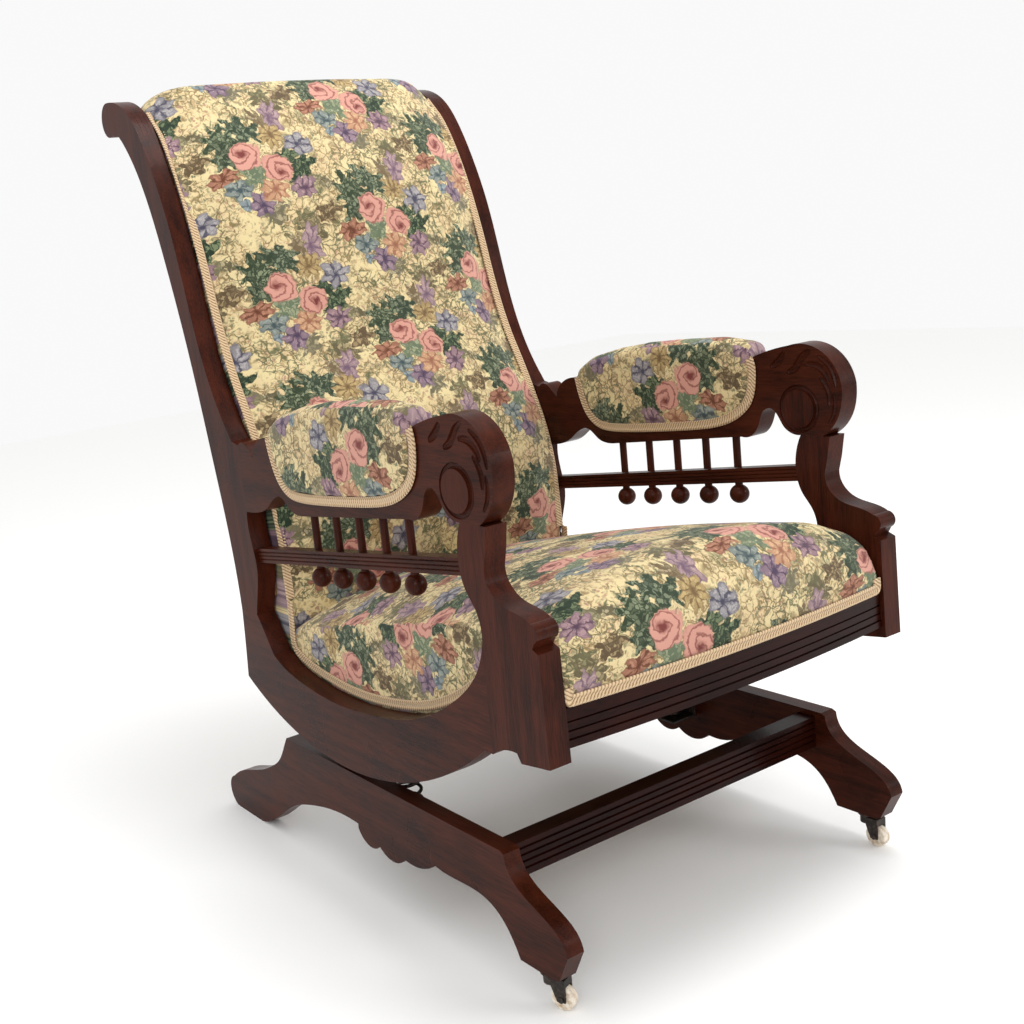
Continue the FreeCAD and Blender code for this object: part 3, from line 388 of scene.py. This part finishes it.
def tapestry_cloth():
    """Jacquard: soft-edged figures, a ribbed face and a faint bloom at grazing angles."""
    material, tree = new_material("cotton_jacquard_tapestry")
    flat = add(tree, "ShaderNodeUVMap", uv_map="cloth")[0]

    def step(value, low, high, start=0.0, end=1.0):
        return add(tree, "ShaderNodeMapRange", {"Value": value, "From Min": low,
                                                "From Max": high, "To Min": start,
                                                "To Max": end})[0]

    def maths(operation, *values):
        return add(tree, "ShaderNodeMath", dict(enumerate(values)), operation=operation)[0]

    def dye(share, under, over):
        return add(tree, "ShaderNodeMix", {"Factor": share, 6: under, 7: over},
                   data_type="RGBA")[2]

    # Drawn freehand: every edge wanders by 1 to 3 mm.
    cloth = flat
    for scale, stray in ((60.0, 0.016), (230.0, 0.006)):
        wander = add(tree, "ShaderNodeTexNoise", {"Vector": flat, "Scale": scale,
                                                  "Detail": 1.0})[1]
        wander = add(tree, "ShaderNodeVectorMath", {0: wander, 1: (0.5, 0.5, 0.5)},
                     operation="SUBTRACT")[0]
        cloth = add(tree, "ShaderNodeVectorMath", {0: wander, 1: (stray, stray, 0.0), 2: cloth},
                    operation="MULTIPLY_ADD")[0]
    mottle = add(tree, "ShaderNodeTexNoise", {"Vector": flat, "Scale": 24.0, "Detail": 3.0})[0]
    colour = dye(step(mottle, 0.38, 0.66), paint("#f3dfa9"), paint("#ecd0a0"))
    # Small scattered sprigs, 3 to 6 mm across, in fawn, rose and sage, on hair-fine stalks.
    for scale, reach, thin, tint in SPRIGS:
        shift = add(tree, "ShaderNodeVectorMath", {0: cloth, 1: (scale, 0.0, 0.0)},
                    operation="ADD")[0]
        cells = add(tree, "ShaderNodeTexVoronoi", {"Vector": shift, "Scale": scale})[0]
        drift = add(tree, "ShaderNodeTexNoise", {"Vector": shift, "Scale": scale / 5,
                                                 "Detail": 1.0})[0]
        near = maths("MULTIPLY", step(cells, reach - 0.16, reach, 0.8, 0.0),
                     step(drift, thin, thin + 0.1))
        colour = dye(near, colour, paint(tint))
    for scale, thin, tint in STALKS:
        edges = add(tree, "ShaderNodeTexVoronoi", {"Vector": cloth, "Scale": scale},
                    feature="DISTANCE_TO_EDGE")[0]
        drift = add(tree, "ShaderNodeTexNoise", {"Vector": cloth, "Scale": scale / 4})[0]
        stalk = maths("MULTIPLY", step(edges, 0.025, 0.085, 0.9, 0.0),
                      step(drift, thin, thin + 0.08))
        colour = dye(stalk, colour, paint(tint))
    # One leaf is 5 mm long. Each takes its own green, with a dark gap round it.
    leaf = add(tree, "ShaderNodeTexVoronoi", {"Vector": cloth, "Scale": LEAVES_PER_METRE})[1]
    leaf = add(tree, "ShaderNodeSeparateXYZ", {0: leaf})[0]
    gap = add(tree, "ShaderNodeTexVoronoi", {"Vector": cloth, "Scale": LEAVES_PER_METRE},
              feature="DISTANCE_TO_EDGE")[0]
    leaf = maths("MULTIPLY", step(leaf, 0.15, 0.8), step(gap, 0.03, 0.17, 0.0, 1.0))
    fold = drop_repeat()
    for kind, x, y, wide, tall, tilt, lobes, light, deep in SPRAY:
        local = add(tree, "ShaderNodeGroup", node_tree=fold)[0]
        tree.links.new(cloth, local.node.inputs[0])
        local.node.inputs[1].default_value = (x * MM, y * MM, 0)
        local = add(tree, "ShaderNodeMapping", {
            "Vector": local, "Rotation": (0, 0, math.radians(tilt)),
            "Scale": (wide * MM, tall * MM, 1)}, vector_type="TEXTURE")[0]
        reach = add(tree, "ShaderNodeVectorMath", {0: local}, operation="LENGTH")[1]
        parts = add(tree, "ShaderNodeSeparateXYZ", {0: local})
        angle = maths("ARCTAN2", parts[1], parts[0])
        wave = maths("SINE", maths("MULTIPLY_ADD", angle, lobes, tilt))
        lobing = {"rose": 0.04, "bloom": 0.16, "leaves": 0.28}[kind]
        edge = maths("DIVIDE", reach, maths("MULTIPLY_ADD", wave, lobing, 1.0))
        inside = step(edge, 0.9, 1.0, 1.0, 0.0)
        if kind == "leaves":
            tone = leaf
        elif kind == "bloom":
            # Petals with dark seams between them, round a dark eye.
            tone = maths("MULTIPLY", step(wave, -0.95, -0.2, 0.1, 1.0),
                         step(edge, 0.12, 0.4, 0.0, 1.0))
            tone = maths("MULTIPLY", tone, step(edge, 0.7, 1.0, 1.0, 0.35))
            tone = maths("MULTIPLY", tone, step(leaf, 0.0, 0.5, 0.6, 1.0))
        else:
            # Crescent petals wrapped round a heart that sits off the centre.
            heart = add(tree, "ShaderNodeVectorMath", {0: local, 1: (0.22, -0.2, 0.0)},
                        operation="ADD")[0]
            away = add(tree, "ShaderNodeVectorMath", {0: heart}, operation="LENGTH")[1]
            parts = add(tree, "ShaderNodeSeparateXYZ", {0: heart})
            swing = maths("MULTIPLY", maths("ARCTAN2", parts[1], parts[0]), 2.0)
            furl = maths("SINE", maths("MULTIPLY_ADD", away, 13.0, swing))
            tone = maths("MULTIPLY", step(furl, -1.0, -0.45, 0.25, 1.0),
                         step(away, 0.1, 0.42, 0.0, 1.0))
            tone = maths("MULTIPLY", tone, step(edge, 0.86, 1.0, 1.0, 0.5))
        colour = dye(inside, colour, dye(tone, paint(deep), paint(light)))
    # The threads lie 0.7 mm apart. They are drawn 1.7 mm apart, so that they show.
    ribs = add(tree, "ShaderNodeVectorMath", {0: flat, "Scale": 2 * math.pi / THREAD_PITCH},
               operation="SCALE")[0]
    parts = add(tree, "ShaderNodeSeparateXYZ", {0: ribs})
    weave = maths("MULTIPLY", maths("SINE", parts[0]), maths("SINE", parts[1]))
    # The whole cloth is dimmed to 0.68 to 0.84 of its dye, most where the weave dips: that dip is
    # painted shade in the hollows between the threads.
    colour = add(tree, "ShaderNodeVectorMath", {
        0: colour, "Scale": step(weave, -1.0, 1.0, 0.68, 0.84)}, operation="SCALE")[0]
    bump = add(tree, "ShaderNodeBump", {"Height": weave, "Strength": 0.25,
                                        "Distance": 0.0004})[0]
    shader = add(tree, "ShaderNodeBsdfPrincipled", {
        "Base Color": colour, "Roughness": 0.88, "Normal": bump, "Sheen Weight": 0.12,
        "Sheen Roughness": 0.5, "Specular IOR Level": 0.2})
    add(tree, "ShaderNodeOutputMaterial", {"Surface": shader[0]})
    return material


tapestry = tapestry_cloth()


def stuffed(name, node, voxel, swell=0.0, hold=None):
    """A cushion cut to its frame node's size: remeshed, plumped by pressure when hold is given,
    and relaxed.

    No point moves further than swell, and hold says what the frame keeps it from doing.
    """
    source = nodes[node]
    mesh = source.data.copy()
    mesh.name = name
    piece = link(name, mesh)
    remesh = piece.modifiers.new("cut_cloth", "REMESH")
    remesh.mode = "VOXEL"
    remesh.voxel_size = voxel
    shape = bpy.data.meshes.new_from_object(
        piece.evaluated_get(bpy.context.evaluated_depsgraph_get()))
    piece.modifiers.clear()
    piece.data = shape
    start = np.array([v.co for v in shape.vertices])
    if hold:
        cloth = piece.modifiers.new("stuffing", "CLOTH")
        cloth.settings.use_pressure = True
        cloth.settings.uniform_pressure_force = 4
        cloth.settings.effector_weights.gravity = 0
        for number in range(1, 21):
            bpy.context.scene.frame_set(number)
        done = piece.evaluated_get(bpy.context.evaluated_depsgraph_get())
        moved = np.array([v.co for v in done.data.vertices])
        piece.modifiers.clear()
        bpy.context.scene.frame_set(1)
        push = moved - start
        length = np.linalg.norm(push, axis=1, keepdims=True) + 1e-9
        push *= np.minimum(1, swell / length)
        start = start + hold(start, push)
    shape.vertices.foreach_set("co", start.ravel())
    relax = piece.modifiers.new("relaxed", "SMOOTH")
    relax.factor = 0.5
    relax.iterations = 6
    shape = bpy.data.meshes.new_from_object(
        piece.evaluated_get(bpy.context.evaluated_depsgraph_get()))
    piece.modifiers.clear()
    piece.data = shape
    shape.polygons.foreach_set("use_smooth", [True] * len(shape.polygons))
    shape.materials.clear()
    shape.materials.append(tapestry)
    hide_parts(node)
    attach(piece, "chair")
    return piece


def lay_cloth(piece, spread):
    """Writes the cloth's own flat coordinates, in metres, from each corner's place."""
    mesh = piece.data
    layer = mesh.uv_layers.new(name="cloth")
    spots = np.empty(len(mesh.vertices) * 3)
    mesh.vertices.foreach_get("co", spots)
    spots = spots.reshape(-1, 3)
    corner = np.empty(len(mesh.loops), dtype=np.int64)
    mesh.loops.foreach_get("vertex_index", corner)
    normals = np.empty(len(mesh.polygons) * 3)
    mesh.polygons.foreach_get("normal", normals)
    sizes = np.empty(len(mesh.polygons), dtype=np.int64)
    mesh.polygons.foreach_get("loop_total", sizes)
    facing = np.repeat(normals.reshape(-1, 3), sizes, axis=0)
    layer.data.foreach_set("uv", spread(spots[corner], facing).ravel())


def along_profile(spots, profile):
    """Distance along a side profile, given as (y, z), of the point nearest to each spot."""
    best = np.full(len(spots), 1e9)
    found = np.zeros(len(spots))
    run = 0.0
    profile = cut_corners(profile)
    for (y0, z0), (y1, z1) in zip(profile, profile[1:]):
        step = np.array([y1 - y0, z1 - z0])
        size = np.hypot(*step)
        rel = spots[:, 1:] - np.array([y0, z0])
        share = np.clip(rel @ step / size ** 2, 0, 1)
        away = np.linalg.norm(rel - share[:, None] * step, axis=1)
        closer = away < best
        best = np.where(closer, away, best)
        found = np.where(closer, run + share * size, found)
        run += size
    return found


def from_rock(points):
    """(y, z) points in mm from the rock point, as metres from the frame's own zero."""
    return [(y * MM + rock_y, z * MM + deck) for y, z in points]


# Back: tapestry over wadding and horsehair, tacked between the stiles and rolled over the
# top rail. It bellies forward in the small of the back.
BACK_LINE = from_rock([(162, 104), (160, 200), (164, 330), (208, 441), (262, 545), (306, 728),
                       (358, 852), (392, 900), (418, 930), (452, 942), (492, 930)])


def back_cloth(spots, facing):
    """A rose stands 150 mm to the right of the middle, 736 mm up the back."""
    along = along_profile(spots, BACK_LINE)
    return np.stack([spots[:, 0] + 0.150, along - 0.736], axis=1)


def keep_width(spots, push):
    """Plumps the face only: nothing moves sideways or into the frame."""
    inside = np.clip((0.235 - np.abs(spots[:, 0])) / 0.03, 0, 1)
    push = push * inside[:, None]
    push[:, 0] = 0
    return push


def back_hold(spots, push):
    """The back bellies forward only, and its roll rises by 4 mm at most."""
    push = keep_width(spots, push)
    push[:, 1] = np.minimum(push[:, 1], 0)
    push[:, 2] = np.where(spots[:, 2] > 1.06, np.clip(push[:, 2], 0, 0.004), 0)
    return push


back = stuffed("back_cushion", "back_upholstery", 0.006, 0.007, back_hold)
lay_cloth(back, back_cloth)

# Seat: horsehair and wadding over springs, under the same tapestry. It is drawn down over
# the front in a full roll and tacked to the rails.
SEAT_LINE = from_rock([(157, 196), (-165, 264), (-363, 292), (-425, 262), (-440, 230),
                       (-440, 182)])


def seat_cloth(spots, facing):
    """The top and front are one width of cloth. The two flanks are cut flat on."""
    along = along_profile(spots, SEAT_LINE)
    over = np.stack([spots[:, 0] + 0.112, 0.624 - along], axis=1)
    flank = np.stack([spots[:, 1] + 0.03, spots[:, 2] - 0.3], axis=1)
    return np.where(np.abs(facing[:, :1]) > 0.62, flank, over)


def seat_hold(spots, push):
    """The seat rises above its rails only."""
    push = keep_width(spots, push)
    push[:, 1] = 0
    push[:, 2] = np.where(spots[:, 2] > 0.37, np.maximum(push[:, 2], 0), 0)
    return push


seat = stuffed("seat_cushion", "seat_upholstery", 0.006, 0.006, seat_hold)
lay_cloth(seat, seat_cloth)


# Arm pads: horsehair caps in the same tapestry, tacked over the arms. Each saddles its arm
# and domes out of both faces.
def pad_cloth(spots, facing):
    """The faces are cut flat on, and the cloth runs over the top between them."""
    flank = np.stack([spots[:, 1] + 0.17, spots[:, 2] - 0.61], axis=1)
    over = np.stack([spots[:, 1] + 0.17, spots[:, 2] * 0.2 + np.abs(spots[:, 0]) - 0.235], axis=1)
    return np.where(np.abs(facing[:, :1]) > 0.6, flank, over)


for side in ("left", "right"):
    pad = stuffed("arm_cushion_" + side, "arm_pad_" + side, 0.0035)
    lay_cloth(pad, pad_cloth)

# Outside back: a plain panel of the same tapestry, with nothing under it. It is stretched
# between the stiles and nailed on behind.
panel = link("outside_back_cloth", nodes["outside_back_panel"].data.copy())
panel.data.materials.clear()
panel.data.materials.append(tapestry)
lay_cloth(panel, back_cloth)
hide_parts("outside_back_panel")
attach(panel, "chair")


# Gimp: a woven cotton braid 13 mm wide, cream and fawn, glued over the tacks. Its two rows
# of looped cord stand up to 3 mm proud and its edges are scalloped.
BRAID_HALF = 0.0064
BRAID_LIFT = 0.0023
BRAID_RISE = 0.0026
LOOP = 0.0046
CORD_SLANT = 0.0065


def gimp_braid():
    material, tree = new_material("cotton_gimp_braid")
    run = add(tree, "ShaderNodeUVMap", uv_map="braid")[0]
    parts = add(tree, "ShaderNodeSeparateXYZ", {0: run})
    speckle = add(tree, "ShaderNodeTexNoise", {"Vector": run, "Scale": 420.0, "Detail": 2.0})[0]
    # Cords lie aslant across the braid. The yarn's own speckle runs from fawn to cream, and over
    # it each cord is drawn lighter on its crown and darker in the hollow beside it: painted
    # shade.
    phase = add(tree, "ShaderNodeMath", {0: parts[0], 1: 2 * math.pi / LOOP},
                operation="MULTIPLY")[0]
    row = add(tree, "ShaderNodeMath", {0: parts[1], 1: 2 * math.pi / CORD_SLANT, 2: phase},
              operation="MULTIPLY_ADD")[0]
    cord = add(tree, "ShaderNodeMath", {0: row}, operation="SINE")[0]
    mix = add(tree, "ShaderNodeMath", {0: speckle, 1: 1.4, 2: cord}, operation="MULTIPLY_ADD")[0]
    share = add(tree, "ShaderNodeMapRange", {"Value": mix, "From Min": -0.3, "From Max": 1.0})[0]
    colour = add(tree, "ShaderNodeMix", {"Factor": share, 6: paint("#8d6b48"),
                                         7: paint("#d3b892")}, data_type="RGBA")[2]
    bump = add(tree, "ShaderNodeBump", {"Height": cord, "Strength": 0.5,
                                        "Distance": 0.0006})[0]
    shader = add(tree, "ShaderNodeBsdfPrincipled", {
        "Base Color": colour, "Roughness": 0.85, "Normal": bump, "Sheen Weight": 0.2})
    add(tree, "ShaderNodeOutputMaterial", {"Surface": shader[0]})
    return material


braid_stuff = gimp_braid()


def rounded_path(points, step):
    """The path with its corners cut smooth, then spaced evenly, and the distance run."""
    points = cut_corners(points)
    run = np.concatenate([[0], np.cumsum(np.linalg.norm(np.diff(points[:, :3], axis=0), axis=1))])
    marks = np.linspace(0, run[-1], max(int(run[-1] / step), 2))
    return np.stack([np.interp(marks, run, points[:, i]) for i in range(points.shape[1])],
                    axis=1), marks


def lay_braid(name, path, replaced=()):
    """Braid along (x, y, z, nx, ny, nz) points: the normal says which way its face looks."""
    rows, marks = rounded_path(path, 0.0012)
    spots = rows[:, :3]
    out = rows[:, 3:] / np.linalg.norm(rows[:, 3:], axis=1, keepdims=True)
    along = np.gradient(spots, axis=0)
    along /= np.linalg.norm(along, axis=1, keepdims=True)
    across = np.cross(along, out)
    across /= np.linalg.norm(across, axis=1, keepdims=True)
    columns = np.array([-1.0, -0.93, -0.72, -0.5, -0.28, 0.0, 0.28, 0.5, 0.72, 0.93, 1.0])
    phase = marks[:, None] * 2 * np.pi / LOOP
    scallop = 1 + 0.06 * np.cos(phase)
    rows_up = np.exp(-((np.abs(columns) - 0.55) / 0.26) ** 2)[None, :]
    loops = 0.55 + 0.45 * np.cos(phase + columns[None, :] * 3.0)
    height = BRAID_RISE * (0.35 + 0.75 * rows_up * loops)
    height[:, 0] = 0
    height[:, -1] = 0
    verts = (spots[:, None, :] + across[:, None, :] * (columns[None, :, None] * BRAID_HALF)
             * scallop[:, :, None] + out[:, None, :] * height[:, :, None])
    under = spots[:, None, :] + across[:, None, :] * (columns[None, [0, -1], None] * BRAID_HALF)
    under = under - out[:, None, :] * 0.0008
    ring = np.concatenate([verts, under[:, ::-1, :]], axis=1)
    count = ring.shape[1]
    faces = []
    for i in range(len(ring) - 1):
        for j in range(count):
            k = (j + 1) % count
            faces.append((i * count + j, i * count + k, (i + 1) * count + k, (i + 1) * count + j))
    faces.append(tuple(range(count))[::-1])
    faces.append(tuple((len(ring) - 1) * count + j for j in range(count)))
    piece = mesh_piece(name, ring.reshape(-1, 3), faces)
    face_outward(piece)
    layer = piece.data.uv_layers.new(name="braid")
    corner = np.empty(len(piece.data.loops), dtype=np.int64)
    piece.data.loops.foreach_get("vertex_index", corner)
    widths = np.concatenate([columns, [1.0, -1.0]]) * BRAID_HALF
    flat = np.stack([marks[corner // count], widths[corner % count]], axis=1)
    layer.data.foreach_set("uv", flat.ravel())
    piece.data.materials.append(braid_stuff)
    if replaced:
        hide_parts(*replaced)
    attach(piece, "chair")
    return piece


def inset(points, distance):
    """The same open line in a side view, moved sideways, to its left for a distance above 0."""
    moved = []
    for i, point in enumerate(points):
        before = points[max(i - 1, 0)]
        after = points[min(i + 1, len(points) - 1)]
        along = (after[0] - before[0], after[1] - before[1])
        scale = distance / math.hypot(*along)
        moved.append((point[0] - along[1] * scale, point[1] + along[0] * scale))
    return moved


frame_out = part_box("arm_left")[1][0]
frame_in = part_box("arm_left")[0][0]
PAD_RIM = from_rock([(98, 439.5), (93, 415), (81, 386), (62, 368), (37, 360), (-20, 361),
                     (-142, 370.5), (-190, 378), (-222, 391), (-244, 410), (-252, 434),
                     (-254, 458), (-250, 472)])
OPENING_RIM = from_rock([(160, 200), (163, 160), (164, 126), (135, 112), (89, 101), (0, 93),
                         (-88, 99), (-183, 118), (-265, 158), (-320, 206), (-332, 228)])
BACK_RIM = from_rock([(160, 200), (164, 330), (208, 441), (262, 545), (306, 728),
                      (358, 852), (404, 900)])
for side, way in (("left", 1), ("right", -1)):
    line = inset(PAD_RIM, -BRAID_HALF)
    for face, x, look in (("outer", frame_out + BRAID_LIFT, way),
                          ("inner", frame_in - BRAID_LIFT, -way)):
        path = [(way * x, y, z, look, 0, 0) for y, z in line]
        lay_braid("arm_braid_%s_%s" % (face, side), path,
                  ["arm_gimp_" + side] if face == "outer" else ())
    line = inset(OPENING_RIM, -BRAID_HALF)
    x = way * (frame_in - 0.0022)
    lay_braid("seat_braid_" + side, [(x, y, z, way, 0, 0) for y, z in line],
              ["seat_gimp_" + side])
    looks = inset(BACK_RIM, 1.0)
    rim = inset(BACK_RIM, 0.0012)
    x = way * (frame_in - BRAID_HALF - 0.0006)
    path = [(x, y, z, 0, ly - y, lz - z) for (y, z), (ly, lz) in zip(rim, looks)]
    lay_braid("back_braid_" + side, path, ["back_gimp_" + side])

low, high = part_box("seat_gimp_front")
reach = frame_in - BRAID_HALF - 0.001
level = low[2] + BRAID_HALF
bow = 0.013
face_y = low[1] + bow + 0.0005
path = [(-reach, face_y, level + 0.014, 0, -1, 0), (-reach, face_y, level + 0.008, 0, -1, 0),
        (-reach, face_y, level, 0, -1, 0)]
for share in np.linspace(-0.97, 0.97, 15):
    path.append((reach * share, face_y - bow * (1 - share ** 2), level, 0, -1, 0))
path += [(reach, face_y, level, 0, -1, 0), (reach, face_y, level + 0.008, 0, -1, 0),
         (reach, face_y, level + 0.014, 0, -1, 0)]
lay_braid("seat_braid_front", path, ["seat_gimp_front"])


# Ironwork: springs of japanned steel wire between flat iron brackets, with slotted screws,
# and cast caster horns. Black stoving enamel, dulled and dusty, over the metal.
def japanned(name, colour, roughness, metallic):
    material, tree = new_material(name)
    spot = add(tree, "ShaderNodeTexCoord")["Object"]
    dust = add(tree, "ShaderNodeTexNoise", {"Vector": spot, "Scale": 260.0, "Detail": 3.0})[0]
    share = add(tree, "ShaderNodeMapRange", {"Value": dust, "From Min": 0.45,
                                             "From Max": 0.75})[0]
    shade = add(tree, "ShaderNodeMix", {"Factor": share, 6: paint(colour), 7: paint("#4a3b30")},
                data_type="RGBA")[2]
    rough = add(tree, "ShaderNodeMapRange", {"Value": dust, "From Min": 0.3, "From Max": 0.7,
                                             "To Min": roughness, "To Max": roughness + 0.2})[0]
    shader = add(tree, "ShaderNodeBsdfPrincipled", {"Base Color": shade, "Roughness": rough,
                                                    "Metallic": metallic})
    add(tree, "ShaderNodeOutputMaterial", {"Surface": shader[0]})
    return material


black_iron = japanned("japanned_cast_iron", "#17120f", 0.45, 0.3)
spring_wire = japanned("japanned_spring_steel", "#1b1714", 0.35, 0.6)
for node in ("rocker_brackets", "base_brackets", "rocker_bracket_screws", "base_bracket_screws"):
    dress(node, black_iron)
for side in ("left", "right"):
    for node in ("caster_horn_", "caster_axle_", "caster_socket_"):
        dress(node + side, black_iron)
    coil = link("spring_pair_" + side, nodes["rocker_springs_" + side].data.copy())
    coil.data.materials.clear()
    coil.data.materials.append(spring_wire)
    coil.data.polygons.foreach_set("use_smooth", [True] * len(coil.data.polygons))
    low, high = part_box("rocker_springs_" + side)
    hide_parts("rocker_springs_" + side)
    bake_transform(coil)
dress("seat_springs", spring_wire)


# Caster wheels: slip-cast porcelain turned on iron axles, fired with a clear glaze. They are
# cream, with a hard bright gloss and a tread that has yellowed.
def glazed_porcelain():
    material, tree = new_material("glazed_porcelain")
    spot = add(tree, "ShaderNodeTexCoord")["Object"]
    stain = add(tree, "ShaderNodeTexNoise", {"Vector": spot, "Scale": 160.0, "Detail": 4.0})[0]
    share = add(tree, "ShaderNodeMapRange", {"Value": stain, "From Min": 0.4,
                                             "From Max": 0.75})[0]
    colour = add(tree, "ShaderNodeMix", {"Factor": share, 6: paint("#e6dccb"),
                                         7: paint("#a98a68")}, data_type="RGBA")[2]
    shader = add(tree, "ShaderNodeBsdfPrincipled", {"Base Color": colour, "Roughness": 0.22,
                                                    "IOR": 1.5})
    add(tree, "ShaderNodeOutputMaterial", {"Surface": shader[0]})
    return material


porcelain = glazed_porcelain()
for side in ("left", "right"):
    dress("caster_wheel_" + side, porcelain)


# Webbing: straps of brown jute, plaited under the seat and tacked to its rails. The yarn is
# coarse and hairy, with no shine.
def jute():
    material, tree = new_material("jute_webbing")
    spot = add(tree, "ShaderNodeTexCoord")["Object"]
    weave = add(tree, "ShaderNodeTexWave", {"Vector": spot, "Scale": 90.0, "Distortion": 1.0})[1]
    noise = add(tree, "ShaderNodeTexNoise", {"Vector": spot, "Scale": 300.0})[0]
    # The colour follows the weave, darker where it dips, as painted shade in the hollows, and the
    # noise gives the yarn's own uneven tone.
    share = add(tree, "ShaderNodeMath", {0: weave, 1: noise}, operation="MULTIPLY")[0]
    colour = add(tree, "ShaderNodeMix", {"Factor": share, 6: paint("#6d5233"),
                                         7: paint("#b2925f")}, data_type="RGBA")[2]
    bump = add(tree, "ShaderNodeBump", {"Height": weave, "Strength": 0.4, "Distance": 0.0008})[0]
    shader = add(tree, "ShaderNodeBsdfPrincipled", {"Base Color": colour, "Roughness": 0.95,
                                                    "Normal": bump})
    add(tree, "ShaderNodeOutputMaterial", {"Surface": shader[0]})
    return material


dress("seat_webbing", jute())
